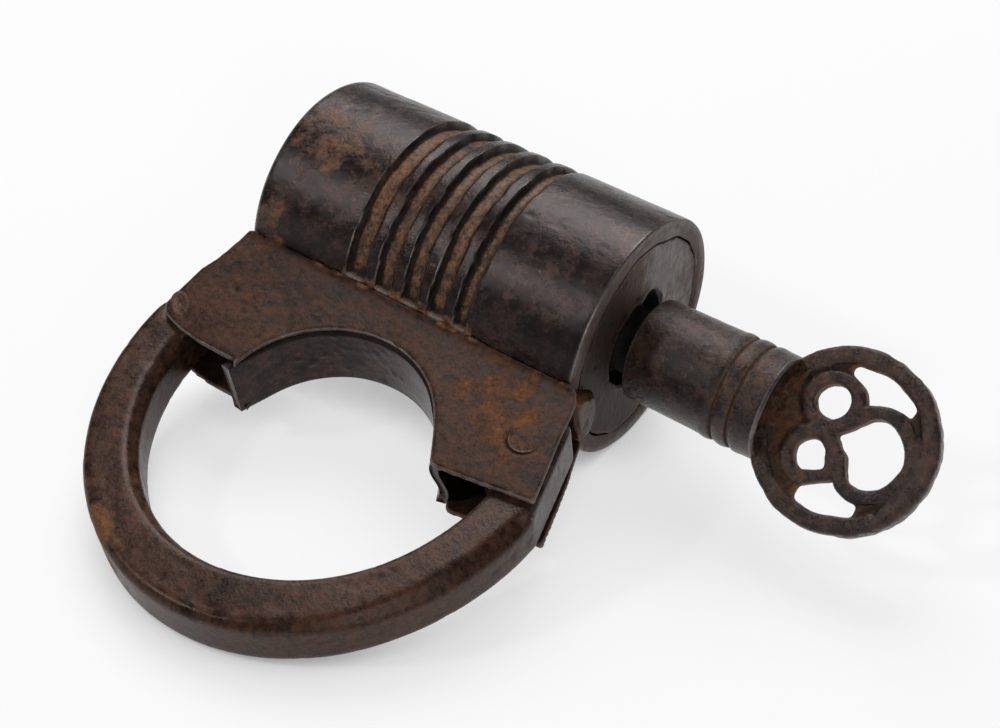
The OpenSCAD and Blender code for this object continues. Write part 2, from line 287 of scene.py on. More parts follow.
def carved(x, y, z, field):
    """The surface on which a field over a box grid is nought. Each cell that the surface passes
    gives one point, the mean of the crossings on its edges, and each crossed grid edge gives a quad
    between the cells round it, facing from the negative side to the positive. Two passes then move
    each point half way to the mean of its neighbours, which takes off the grid's stairs."""
    origin = np.array([x.min(), y.min(), z.min()])
    cell = x.ravel()[1] - x.ravel()[0]
    solid = field < 0.0
    corners = np.array(list(np.ndindex(2, 2, 2)))
    span = tuple(n - 1 for n in field.shape)
    count = sum(solid[c[0]:c[0] + span[0], c[1]:c[1] + span[1], c[2]:c[2] + span[2]].astype(np.int8)
                for c in corners)
    where = np.argwhere((count > 0) & (count < 8))
    number = np.full(span, -1)
    number[tuple(where.T)] = np.arange(len(where))
    value = np.stack([field[tuple((where + c).T)] for c in corners], axis=1)
    total = np.zeros((len(where), 3))
    hits = np.zeros(len(where))
    pairs = [(a, b) for a, b in np.ndindex(8, 8) if a < b and np.abs(corners[a] - corners[b]).sum() == 1]
    for a, b in pairs:
        crossed = (value[:, a] < 0) != (value[:, b] < 0)
        gap = np.where(crossed, value[:, a] - value[:, b], 1.0)
        t = np.clip(value[:, a] / gap, 0.0, 1.0)[:, None]
        total += np.where(crossed[:, None], corners[a] + t * (corners[b] - corners[a]), 0.0)
        hits += crossed
    points = origin + cell * (where + total / hits[:, None])
    faces = []
    for axis in range(3):
        u, v = (axis + 1) % 3, (axis + 2) % 3
        ahead = np.roll(solid, -1, axis)
        crossing = solid != ahead
        edge = np.zeros(field.shape, bool)
        inner = [slice(1, -1)] * 3
        inner[axis] = slice(0, -1)
        edge[tuple(inner)] = crossing[tuple(inner)]
        at = np.argwhere(edge)
        du, dv = np.eye(3, dtype=int)[u], np.eye(3, dtype=int)[v]
        ring = [number[tuple((at - s).T)] for s in (du + dv, dv, 0 * du, du)]
        quads = np.stack(ring, axis=1)
        outward = solid[tuple(at.T)]
        faces.append(np.where(outward[:, None], quads, quads[:, ::-1]))
    faces = np.concatenate(faces)
    a, b = edges_of(faces)
    degree = np.bincount(a, minlength=len(points))[:, None]
    for _ in range(2):
        points = 0.5 * points + 0.5 * gathered(a, points[b], len(points)) / degree
    return points, faces


def edges_of(faces):
    """Each pair of points that share a side of a face, both ways round."""
    a = faces.ravel()
    b = np.roll(faces, -1, axis=1).ravel()
    return np.concatenate([a, b]), np.concatenate([b, a])


def gathered(index, values, count):
    """Sum of the values that go to each index, column by column."""
    return np.stack([np.bincount(index, values[:, k], count) for k in range(values.shape[1])], axis=1)


def normals_of(points, faces):
    """Unit normal at each point: the sum of its faces' diagonal cross products."""
    diagonal_a = points[faces[:, 2]] - points[faces[:, 0]]
    diagonal_b = points[faces[:, 3]] - points[faces[:, 1]]
    face_normal = np.cross(diagonal_a, diagonal_b)
    total = gathered(faces.ravel(), np.repeat(face_normal, 4, axis=0), len(points))
    return total / np.maximum(np.linalg.norm(total, axis=1), 1e-12)[:, None]


def bulge_of(points, faces, normals):
    """How far each point stands out of the mean of its neighbours, along its normal and over the
    mean spacing: positive on outer edges, negative in corners. Two passes smooth it out."""
    a, b = edges_of(faces)
    count = len(points)
    degree = np.maximum(np.bincount(a, minlength=count), 1)[:, None]
    step = np.linalg.norm(points[b] - points[a], axis=1)
    spacing = gathered(a, step[:, None], count) / degree
    mean = gathered(a, points[b], count) / degree
    bulge = ((points - mean) * normals).sum(1)[:, None] / np.maximum(spacing, 1e-9)
    for _ in range(2):
        bulge = 0.5 * bulge + 0.5 * gathered(a, bulge[b], count) / degree
    return bulge[:, 0]


def volume(points, faces):
    """Six times the volume inside the faces, negative when they face inwards."""
    a, b, c, d = (points[faces[:, k]] for k in range(4))
    return (a * np.cross(b, c)).sum() + (a * np.cross(c, d)).sum()


def placed_mesh(name, points, faces):
    """A smooth-shaded mesh of quads, its lock-frame points carried into the row frame."""
    row = np.array(TO_ROW)
    place = points @ (row[:3, :3].T * MM) + row[:3, 3]
    mesh = bpy.data.meshes.new(name)
    mesh.vertices.add(len(place))
    mesh.vertices.foreach_set("co", place.ravel())
    mesh.loops.add(faces.size)
    mesh.loops.foreach_set("vertex_index", faces.ravel().astype(np.int32))
    mesh.polygons.add(len(faces))
    mesh.polygons.foreach_set("loop_start", np.arange(0, faces.size, 4, dtype=np.int32))
    mesh.polygons.foreach_set("use_smooth", np.ones(len(faces), bool))
    mesh.update(calc_edges=True)
    return mesh


def forged(name, points, faces, hammer=1.0, pits=1.0, rust=0.0, shift=0.0, dirt_and_shade=0.0, dust=0.0):
    """A mesh object from a lock-frame surface, with hammer marks, pits and worn edges as real shape.
    Each point moves along its normal by broad noise, by rust pits where fine noise runs deep, by
    wear where it bulges, and by shift. Attributes edge, hollow, rust and dust carry the worn, the
    darkened, the rusted and the dusty places to the material. hollow darkens concave places and deep
    pits, and adds the piece's own darkening, which is soiling in some places and painted shade in
    others."""
    if volume(points, faces) < 0.0:
        faces = faces[:, ::-1]
    normals = normals_of(points, faces)
    bulge = bulge_of(points, faces, normals)
    deep = smooth(turbulence(points, PIT_SIZE, 31), 0.25, 1.0)
    deep *= smooth(noise(points, PIT_SPREAD, 5), -0.5, 0.4)
    move = -0.5 * size("hammer") * hammer * (1.0 - turbulence(points, HAMMER_SIZE, 11, 2))
    calm = 1.0 - smooth(np.abs(bulge), 0.04, 0.16)
    move -= size("pits") * pits * calm * (deep + 0.25 * (1.0 + noise(points, GRAIN_SIZE, 3)) / 2)
    move -= EDGE_WEAR * np.clip(bulge, 0.0, 0.4) * (1.0 + 0.5 * noise(points, WEAR_SIZE, 23))
    move = move + shift
    points = points + normals * move[:, None]
    mesh = placed_mesh(name, points, faces)
    # hollow darkens the material: concave places, deep pits, and the piece's own darkening, which is soiling
    # in some places and painted shade on inner faces, groove walls, the key plate's left half and gaps.
    masks = {"edge": bulge * 6.0 - 0.25, "hollow": -bulge * 6.0 + 0.2 * deep + dirt_and_shade,
             "rust": rust, "dust": dust}
    for key, mask in masks.items():
        values = np.clip(np.zeros(len(points)) + mask, 0.0, 1.0).astype(np.float32)
        mesh.attributes.new(key, "FLOAT", "POINT").data.foreach_set("value", values)
    mesh.validate()
    piece = bpy.data.objects.new(name, mesh)
    bpy.context.scene.collection.objects.link(piece)
    return piece


def settle(piece, body, slot, look, *nodes):
    """Gives a finished piece its body, its material and the nodes it stands for; slot is not used."""
    piece.data.materials.append(look)
    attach(piece, body)
    if nodes:
        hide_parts(*nodes)


# ---------------------------------------------------------------- shader maths

class Wire:
    """An output socket on which sums, differences and products add Math nodes."""

    def __init__(self, web, socket):
        self.web, self.socket = web, socket

    def maths(self, operation, first, second):
        return self.web.add("ShaderNodeMath", {"operation": operation}, {0: first, 1: second})

    def __add__(self, other):
        return self.maths("ADD", self, other)

    def __sub__(self, other):
        return self.maths("SUBTRACT", self, other)

    def __rsub__(self, other):
        return self.maths("SUBTRACT", other, self)

    def __mul__(self, other):
        return self.maths("MULTIPLY", self, other)

    __radd__ = __add__
    __rmul__ = __mul__

    def clamped(self):
        return self.web.add("ShaderNodeClamp", {}, {"Value": self, "Min": 0.0, "Max": 1.0})

    def step(self, low, high):
        """Smooth step from 0 at low to 1 at high."""
        return self.web.add("ShaderNodeMapRange", {"interpolation_type": "SMOOTHSTEP"},
                            {"Value": self, "From Min": low, "From Max": high})


class Web:
    """The nodes of one material."""

    def __init__(self, name):
        self.material = bpy.data.materials.new(name)
        self.material.use_nodes = True
        self.tree = self.material.node_tree
        self.tree.nodes.clear()
        self.place = self.add("ShaderNodeTexCoord", {}, {}, "Object")

    def add(self, kind, settings, sockets, output=0):
        """A node of that kind, with its settings made first, then its sockets set or linked."""
        node = self.tree.nodes.new(kind)
        for key, value in settings.items():
            setattr(node, key, value)
        for key, value in sockets.items():
            if isinstance(value, Wire):
                self.tree.links.new(value.socket, node.inputs[key])
            else:
                node.inputs[key].default_value = value
        return Wire(self, node.outputs[output])

    def noise(self, scale, detail=4.0, roughness=0.6, stretch=None, distortion=0.0):
        """Noise from 0 to 1 on object coordinates, scale in cells a metre."""
        place = self.place
        if stretch is not None:
            place = self.add("ShaderNodeMapping", {}, {"Vector": place, "Scale": stretch})
        return self.add("ShaderNodeTexNoise", {}, {"Vector": place, "Scale": scale, "Detail": detail,
                                                   "Roughness": roughness, "Distortion": distortion})

    def mask(self, name):
        """A per-point attribute of the piece."""
        return self.add("ShaderNodeAttribute", {"attribute_name": name}, {}, "Fac")

    def mix(self, factor, first, second):
        """first where factor is 0 and second where it is 1, as colours."""
        def four(value):
            return value if isinstance(value, Wire) else (*value, 1.0)
        return self.add("ShaderNodeMix", {"data_type": "RGBA"},
                        {0: factor, 6: four(first), 7: four(second)}, 2)

    def finish(self, colour, roughness, metallic, height, distance, shine=0.35):
        """Joins the Principled shader, with a bump of that height, and returns the material."""
        normal = self.add("ShaderNodeBump", {}, {"Height": height, "Distance": distance, "Strength": 1.0})
        shader = self.add("ShaderNodeBsdfPrincipled", {},
                          {"Base Color": colour, "Roughness": roughness, "Metallic": metallic,
                           "Specular IOR Level": shine, "Normal": normal})
        self.add_output(shader)
        return self.material

    def add_output(self, shader):
        output = self.tree.nodes.new("ShaderNodeOutputMaterial")
        self.tree.links.new(shader.socket, output.inputs["Surface"])


# Depths of the bumps that a material adds, in metres.
IRON_GRAIN = 0.00022
FILE_STROKES = 0.00025
STEEL_GRAIN = 0.0001


def iron(name, rust=0.3, brown=0.5, bare=0.3, grain=1.0, shine=0.35, patina=0.5):
    """Old forged iron: dark patina, clouded with brown, rusted where the piece's rust mask and four
    sizes of noise add up, orange in the middle of the rust, flecked and specked all over, powdered
    with dust, rubbed bright on its edges, and darker in its hollows and pits and where the piece's
    hollow mask carries painted shade. rust, brown and bare say how much of each shows, grain and
    shine how rough and how glossy it is, patina how metallic."""
    shades = bpy.context.scene.padlock_colours
    web = Web(name)
    cloud = web.noise(95.0, 5.0, 0.62, distortion=0.4)
    mottle = web.noise(420.0, 4.0, 0.65)
    fleck = web.noise(900.0, 6.0, 0.85)
    pits = web.noise(1250.0, 4.0, 0.75)
    speck = web.noise(1900.0, 3.0, 0.7)
    edge, hollow, rusted, dust = (web.mask(key) for key in ("edge", "hollow", "rust", "dust"))

    # Where each finish shows, from 0 to 1.
    haze = (cloud * 0.36 + mottle * 0.36 + fleck * 0.28 - (0.62 - 0.22 * brown)).step(-0.11, 0.13)
    crust = (cloud * 0.32 + mottle * 0.28 + speck * 0.22 + fleck * 0.18 + rusted * 0.28 + hollow * 0.04
             - (0.74 - 0.22 * rust)).step(-0.04, 0.21)
    flecks = (fleck * 0.85 + speck * 0.15 + cloud * 0.20 + rusted * 0.11
              - (0.750 - 0.08 * rust)).step(0.0, 0.09)
    fresh = (cloud * 0.45 + mottle * 0.25 + speck * 0.30 + rusted * 0.15).step(0.60, 0.74) * crust
    rubbed = (edge * (mottle * 0.9 + speck * 0.5) * bare * 2.2).step(0.22, 0.85) * (1.0 - crust * 0.6)
    # Darker in hollows and pits, and painted shade where the piece's hollow mask carries it.
    dirt_and_shade = (hollow * 1.1 + (0.5 - pits) * 0.8).step(0.15, 0.9)
    powder = (dust * 1.25 + speck * 0.6 + mottle * 0.5 - 0.95).step(0.0, 0.50)
    holes = 1.0 - (fleck * 0.6 + pits * 0.4).step(0.38, 0.56)
    damp = 1.0 - (pits * 0.6 + mottle * 0.4).step(0.38, 0.53)

    # The colours, each laid over the last.
    deep_iron = tuple(0.65 * share for share in shades.iron)
    pale_iron = tuple(1.2 * share for share in shades.iron)
    speckle = web.mix(mottle.step(0.48, 0.66) * 0.7, shades.rust, shades.orange)
    soil = web.mix((speck * 0.45 + fleck * 0.55).step(0.42, 0.60), shades.rust, shades.dust)
    soil = web.mix(damp * 0.85, soil, shades.grime_and_shade)
    base = web.mix(mottle.step(0.32, 0.68), deep_iron, pale_iron)
    coats = ((haze, shades.brown), (crust * 0.85, shades.rust), (fresh * 0.75, shades.orange),
             (flecks * 0.75, speckle), (powder * 0.92, soil), (holes * 0.70, shades.grime_and_shade),
             (dirt_and_shade * 0.8, shades.grime_and_shade), (rubbed * 0.75, shades.steel))
    for share, coat in coats:
        base = web.mix(share, base, coat)

    roughness = (mottle * 0.18 + speck * 0.10 + crust * 0.24 + powder * 0.3 + hollow * 0.40
                 + flecks * 0.2 + haze * 0.10 - rubbed * 0.12 + 0.10).clamped()
    metallic = ((1.0 - crust) * (1.0 - powder) * (1.0 - flecks * 0.7) * (1.0 - haze * 0.55) * patina
                + rubbed * 0.25).clamped()
    height = pits * 0.60 + speck * 0.35 * (crust + powder + 0.45) + fleck * 0.35
    return web.finish(base, roughness, metallic, height, IRON_GRAIN * grain, shine)


def filed_iron(name):
    """A filed grey face: bare metal streaked along the file strokes, browned in clouds."""
    shades = bpy.context.scene.padlock_colours
    web = Web(name)
    cloud = web.noise(110.0, 5.0, 0.6)
    mottle = web.noise(600.0, 4.0, 0.7)
    strokes = web.noise(260.0, 3.0, 0.6, stretch=(1.0, 7.0, 1.4))
    edge, hollow, rusted = web.mask("edge"), web.mask("hollow"), web.mask("rust")
    haze = (cloud * 0.6 + mottle * 0.4 + rusted * 0.45 - 0.46).step(0.0, 0.22)
    base = web.mix((strokes * 0.5 + mottle * 0.3 - 0.15).clamped(), shades.steel, shades.iron)
    base = web.mix(haze * 0.85, base, shades.brown)
    base = web.mix((rusted * mottle * 1.7).step(0.50, 0.95) * 0.8, base, shades.rust)
    # Darker in hollows, and painted shade where the piece's hollow mask carries it, as on the key plate's
    # left half.
    base = web.mix((hollow * 1.3).step(0.2, 0.9), base, shades.grime_and_shade)
    base = web.mix((edge * mottle).step(0.25, 0.7) * 0.6, base, shades.steel)
    roughness = (strokes * 0.2 + mottle * 0.2 + haze * 0.1 + 0.30).clamped()
    metallic = ((1.0 - haze) * 0.6).clamped()
    height = strokes * 0.5 + mottle * 0.5
    return web.finish(base, roughness, metallic, height, FILE_STROKES, 0.30)


def oiled_steel(name):
    """The hidden works: plain dull steel with thin brown clouds."""
    shades = bpy.context.scene.padlock_colours
    web = Web(name)
    cloud = web.noise(150.0, 4.0, 0.6)
    grain = web.noise(1500.0, 3.0, 0.6)
    base = web.mix((cloud * 0.8 + grain * 0.2).step(0.42, 0.68), shades.steel, shades.brown)
    return web.finish(base, (grain * 0.2 + 0.35).clamped(), (0.9 - cloud * 0.4).clamped(), grain, STEEL_GRAIN)


# What iron is told for each forged finish.
FORGED = {
    "forged_barrel": {"rust": 0.30, "brown": 0.28, "bare": 0.90, "grain": 0.55, "shine": 0.44},
    "forged_cheek": {"rust": 0.42, "brown": 0.72, "bare": 1.0, "grain": 0.35, "shine": 0.07, "patina": 0.08},
    "forged_web": {"rust": 0.30, "brown": 0.4, "bare": 1.1, "grain": 0.4, "shine": 0.25},
    "forged_guard": {"rust": 0.45, "brown": 0.8, "bare": 0.4, "grain": 0.4, "shine": 0.1, "patina": 0.2},
    "forged_rivet": {"rust": 0.55, "brown": 0.9, "bare": 1.0, "shine": 0.2},
    "forged_shackle": {"rust": 0.38, "brown": 0.72, "bare": 1.0, "grain": 0.4, "shine": 0.20, "patina": 0.25},
    "forged_key": {"rust": 0.70, "brown": 0.55, "bare": 1.1, "grain": 1.1, "shine": 0.50, "patina": 0.35},
}
PLAIN = {"filed_face": filed_iron, "dull_steel": oiled_steel, "spring_wire": oiled_steel}


def finish_of(name):
    """The material of that name, made when it is first asked for."""
    found = bpy.data.materials.get(name)
    if found:
        return found
    return PLAIN[name](name) if name in PLAIN else iron(name, **FORGED[name])


# ---------------------------------------------------------------- barrel

GROOVES = ((-8.9, 3.4), (-4.1, 2.8), (0.45, 2.8), (5.0, 2.9), (9.2, 2.3))  # middle and width
RINGED = 12.0     # half the length of barrel that holds the grooves
SEAM_TOP = 156.7  # degrees about the barrel at which the cheeks meet it
SEAM_LOW = 191.0
RIM = 0.45        # rounding of the barrel's ends
LIP = 1.1         # width of the lip that holds an end plate
PATCH = (-21.5, 102.0, 6.5)  # place along, degrees about and radius of the rust patch
PATCH_STRETCH = 0.32         # millimetres a degree
SLOT_MIDDLE = np.array([20.4, -BARREL_R + 2.0, 1.85])
SLOT_HALF = np.array([3.5, 4.0, 4.2])


def peened(angle, bore):
    """Radius of the ragged lip that holds an end plate in the barrel."""
    ragged = np.sin(5 * angle) + 0.8 * np.sin(9 * angle + 1) + 0.6 * np.sin(17 * angle)
    return bore - 0.45 + 0.16 * ragged


def groove_depth(x, angle, depth):
    """Depth of the ring grooves at a place on the barrel: each is a flat-floored trough with a steep
    left wall and a slacker right one, which fades out in the last degrees before the cheeks."""
    total = np.zeros_like(x)
    for k, (middle, width) in enumerate(GROOVES):
        wander = (0.15 * np.sin(angle * 2.0 + k) + 0.08 * np.sin(angle * 9.0 + 2 * k)
                  + 0.06 * np.sin(angle * 23.0 + 5 * k))
        a, b = middle - width / 2 + wander, middle + width / 2 + wander
        wall = smooth(x, a - 0.08, a + 0.30)
        slope = 1.0 - smooth(x, a + 0.62 * width, b + 0.15)
        total = np.maximum(total, wall * slope * (0.92 + 0.10 * np.sin(3.0 * angle + 2.0 * k)))
    degrees = np.degrees(angle) % 360.0
    near = np.minimum(np.abs(degrees - SEAM_TOP), np.abs(degrees - SEAM_LOW))
    between = (degrees > SEAM_TOP) & (degrees < SEAM_LOW)
    return depth * total * np.where(between, 0.0, smooth(near, 0.0, 1.6))


def barrel_profile(bore):
    """The tube's section: finely stepped where the grooves are, round over each end and down to the
    lip, and back along the bore."""
    coarse, fine = 0.62, 0.22
    start, end = (-END_X + RIM, BARREL_R), (END_X - RIM, BARREL_R)
    left, right = (-RINGED, BARREL_R), (RINGED, BARREL_R)
    inside = along(end, (END_X - 0.1, BARREL_R - 0.12), (END_X, BARREL_R - RIM), (END_X, bore),
                   (END_X - LIP, bore), (-END_X + LIP, bore), (-END_X, bore), (-END_X, BARREL_R - RIM),
                   (-END_X + 0.1, BARREL_R - 0.12), start, step=1.1)
    return np.concatenate([along(start, left, step=coarse), along(left, right, step=fine),
                           along(right, end, step=coarse), inside])


class PADLOCK_OT_barrel(bpy.types.Operator):
    """Build the grooved barrel tube"""
    bl_idname = "padlock.barrel"
    bl_label = "Barrel"

    def execute(self, context):
        bore = BARREL_R - size("wall")
        depth = size("groove_depth")
        profile = barrel_profile(bore)
        outer = profile[:, 1] > BARREL_R - 0.01

        def shape(x, r, angle):
            """Ring grooves on the outside, and a lip peened unevenly inwards at each end."""
            cut = groove_depth(x, angle, depth) * outer[:, None]
            rim = (np.abs(x) > END_X - 0.05) & (r < bore + 0.1)
            return x, np.where(rim, peened(angle, bore), r - cut)

        points, faces = turned(profile, BARREL_TURNS, shape=shape)
        masks = self.masks(points, np.repeat(outer, BARREL_TURNS))
        barrel = forged("barrel", points, faces, hammer=0.8, **masks)
        settle(barrel, "case", "barrel_iron", finish_of("forged_barrel"), "barrel_tube")
        barrel.data.materials.append(finish_of("filed_face"))
        middle = points[faces].mean(axis=1)
        end_faces = np.abs(middle[:, 0]) > END_X - 0.06
        end_faces &= np.hypot(middle[:, 1], middle[:, 2]) < BARREL_R - 0.2
        barrel.data.polygons.foreach_set("material_index", end_faces.astype(np.int32))
        cut_slot(barrel)
        return {"FINISHED"}

    def masks(self, points, on_outside):
        """Pits, rust, dust and darkening: rust and dust lie on the grooves' floors, and their walls,
        which are where the depth differs on either side, are darkened, partly as soiling and partly as
        painted shade. Dust gathers along the cheeks' seam and at the grooves' ends, which are darkened a
        little, and rust blooms in a patch near the left end."""
        angle = np.arctan2(points[:, 2], points[:, 1])
        degrees = np.degrees(angle) % 360.0
        radius = np.hypot(points[:, 1], points[:, 2])
        aside = 0.25
        cut, behind, ahead = (groove_depth(points[:, 0] + step, angle, 1.0) * on_outside
                              for step in (0.0, -aside, aside))
        # The walls are darkened: soiling, and painted shade of the steep walls.
        wall = smooth(ahead - behind, 0.15, 0.8)
        seam = bell(degrees, SEAM_TOP, 2.2) * smooth(noise(points, 2.6, 77), -0.5, 0.6)
        ends = bell(degrees, SEAM_TOP - 1.5, 3.5) * (np.abs(points[:, 0]) < RINGED - 0.5)
        left_brown = smooth(-points[:, 0], 5.0, 22.0) * smooth(turbulence(points, 5.0, 71), -0.4, 0.8)
        spot = np.hypot(points[:, 0] - PATCH[0], (np.degrees(angle) - PATCH[1]) * PATCH_STRETCH)
        left_brown += 0.8 * bell(spot, 0.0, PATCH[2]) * smooth(turbulence(points, 2.4, 73), -0.6, 0.7)
        dust = smooth(cut, 0.35, 0.8) * (0.82 + 0.35 * noise(points, 2.2, 57)) + 0.35 * seam + 0.7 * ends
        rust = 0.6 * smooth(cut, 0.2, 0.6) + 0.5 * seam + 0.95 * left_brown
        rust += 0.3 * (radius < BARREL_R - 1.4) * ~on_outside
        return {"pits": 0.7 + 2.4 * cut, "rust": rust, "dust": dust * (1.0 - 0.7 * wall),
                "dirt_and_shade": 0.4 * wall + 0.2 * ends}


def cut_slot(barrel):
    """Cuts the slot for the shackle's horn with a box and Blender's exact Boolean."""
    corners = np.array(list(np.ndindex(2, 2, 2))) * 2 - 1
    places = [TO_ROW @ Vector(((SLOT_MIDDLE + SLOT_HALF * c) * MM).tolist()) for c in corners]
    sides = [(0, 1, 3, 2), (4, 6, 7, 5), (0, 4, 5, 1), (2, 3, 7, 6), (0, 2, 6, 4), (1, 5, 7, 3)]
    mesh = bpy.data.meshes.new("slot_cutter")
    mesh.from_pydata([tuple(p) for p in places], [], sides)
    cutter = bpy.data.objects.new("slot_cutter", mesh)
    bpy.context.scene.collection.objects.link(cutter)
    modifier = barrel.modifiers.new("slot", "BOOLEAN")
    modifier.object, modifier.operation, modifier.solver = cutter, "DIFFERENCE", "EXACT"
    graph = bpy.context.evaluated_depsgraph_get()
    cut = bpy.data.meshes.new_from_object(barrel.evaluated_get(graph))
    barrel.modifiers.clear()
    barrel.data = cut
    bpy.data.objects.remove(cutter)


class PADLOCK_OT_end_plates(bpy.types.Operator):
    """Build the two end plates, the right one with the key's worn hole"""
    bl_idname = "padlock.end_plates"
    bl_label = "End plates"

    def execute(self, context):
        look = finish_of("filed_face")
        self.key_end(END_X - 0.05, look)
        self.blind_end(-END_X + 0.05, look)
        return {"FINISHED"}

    def key_end(self, face, look):
        """The holed plate: each ray about the key's axis runs from the hole's worn rim, with a notch
        at its upper right, out to the peened lip, and burrs stand up beside the hole."""
        back = face - PLATE_T + 0.2
        profile = along((back, 1.0), (back, 0.0), (face - 0.3, 0.0), (face, 0.045), (face, 0.985),
                        (face - 0.25, 1.0), (back, 1.0), step=0.04)
        depth, share = profile[:, 0], profile[:, 1]
        angle = np.linspace(0.0, 2.0 * np.pi, PLATE_TURNS, endpoint=False)
        degrees = np.degrees(angle)
        ray = np.stack([np.cos(angle), np.sin(angle)], axis=1)
        notch = 1.5 * bell(degrees, 52.0, 17.0) + 0.35 * bell(degrees, 84.0, 9.0)
        wear = 0.12 * np.sin(4 * angle) + 0.08 * np.sin(11 * angle + 2.0)
        rim = KEY_AXIS[1:] + (size("keyhole") + notch + wear)[:, None] * ray
        outer = (peened(angle, BARREL_R - size("wall")) - 0.09)[:, None] * ray
        flat = rim[None] + share[:, None, None] * (outer - rim)[None]
        burr = 0.35 * bell(share, 0.06, 0.05)[:, None] * (bell(degrees, 28.0, 7.0) + bell(degrees, 78.0, 9.0))
        x = depth[:, None] + np.where((depth > face - 0.01)[:, None], burr, 0.0)
        points = np.concatenate([x[..., None], flat], axis=-1).reshape(-1, 3)
        faces = grid_faces(len(profile), PLATE_TURNS, wrap_rows=True, wrap_columns=True)
        # The plate's left half is browned with rust and darkened: rust, and painted shade where that side
        # lies in shadow beside the key.
        left = smooth(-points[:, 1], -6.0, 5.0)
        rust = 0.95 * left + 0.3 * smooth(np.hypot(points[:, 1], points[:, 2]), 13.5, 15.4)
        plate = forged("key_end_plate_worn", points, faces, hammer=0.7, pits=0.8, rust=rust, dirt_and_shade=0.55 * left)
        settle(plate, "case", "filed_iron", look, "key_end_plate")

    def blind_end(self, face, look):
        """The plain plate in the far end, turned from its section."""
        inner = face + PLATE_T
        profile = along((inner, PLATE_R), (face + 0.4, PLATE_R), (face, PLATE_R - 0.5), (face, AXIS_R),
                        (inner, AXIS_R), (inner, PLATE_R))
        points, faces = turned(profile, BLIND_TURNS)
        rust = 0.6 * smooth(turbulence(points, 6.0, 43), -0.4, 0.7)
        plate = forged("blind_end_plate_worn", points, faces, hammer=1.2, pits=1.2, rust=rust)
        settle(plate, "case", "filed_iron", look, "blind_end_plate")


# ---------------------------------------------------------------- housing

SEAM_Y = -16.5                            # where the cheeks meet the barrel
HOLLOW = np.array([1.9, HINGE[1] - 5.9])  # middle of the hollow between the feet
HOLLOW_R = 15.7
STAY = np.array([27.8, HINGE[1] + 6.0])   # the rivet in the toe's slot
STAY_R = 2.25
LOWER_SET_BACK = 1.3                      # of the lower cheek's hollow edge on the right foot

# Rust blooms on the cheeks: each one's middle, width and strength.
BLOOMS = ((-21.5, -26.5, 4.0, 1.0), (-20.0, -21.0, 3.0, 0.6), (-25.0, -19.5, 3.5, 0.6),
          (18.0, -22.5, 4.5, 0.9), (25.0, -19.0, 4.5, 1.0), (25.0, -27.5, 4.0, 0.6))

# The toe guard's outline across the barrel, and how far it stands out of and reaches back from the end.
SHIELD = np.array([[-18.4, 7.2], [-13.1, 2.8], [-13.0, -0.3], [-13.8, -1.9], [-15.7, -3.7],
                   [-18.2, -2.6], [-18.9, 0.5], [-19.1, 4.4]])
SHIELD_OUT = 2.1
SHIELD_BACK = 3.0


def cheek_outline(set_back):
    """The housing's outline from above: straight down the left side, round the hinge's foot, along
    the foot's edge, back through the hollow, out along the right foot and up its slanting side. The
    hollow's edge on the right foot stands set_back behind the web's flared end."""
    hinge_x, hinge_y = HINGE[0], HINGE[1]
    foot_y = hinge_y - 4.0
    points = [[-END_X - 0.6, SEAM_Y + 4], [-END_X - 0.6, SEAM_Y - 3], [-END_X - 1.0, SEAM_Y - 7],
              [-END_X - 1.7, SEAM_Y - 9.5], [-END_X - 1.8, hinge_y + 2.5], [hinge_x - 2.3, hinge_y - 0.6],
              [hinge_x - 1.2, hinge_y - 2.2], [hinge_x + 0.7, hinge_y - 2.9], [-END_X + 3.4, foot_y + 0.5],
              [-END_X + 7.5, foot_y]]
    left_tip = [HOLLOW[0] - HOLLOW_R - 0.6, foot_y + 0.05]
    inner = arc(HOLLOW, (HOLLOW_R, HOLLOW_R), 176.0, 43.0, 60)
    side = HOLLOW[0] + set_back
    reach = 0.4 * set_back
    right = [[side + 12.5, hinge_y + 3.7], [side + 14.6, hinge_y + 0.8], [side + 16.0, hinge_y - 1.5],
             [side + 17.3, foot_y + 0.3], [side + 18.2, foot_y + 0.1], [END_X - 0.9, foot_y + 1.0],
             [END_X + 6.8 + reach, hinge_y - 1.9], [END_X + 5.6 + reach, hinge_y + 2.5],
             [END_X + 4.0 + reach, SEAM_Y - 8.5], [END_X + 2.9, SEAM_Y - 3.8],
             [END_X + 2.3, SEAM_Y - 1.9], [END_X + 1.2, SEAM_Y - 0.4],
             [END_X - 0.3, SEAM_Y + 1.0], [END_X - 0.5, SEAM_Y + 4]]
    return np.concatenate([points, [left_tip], inner, right])


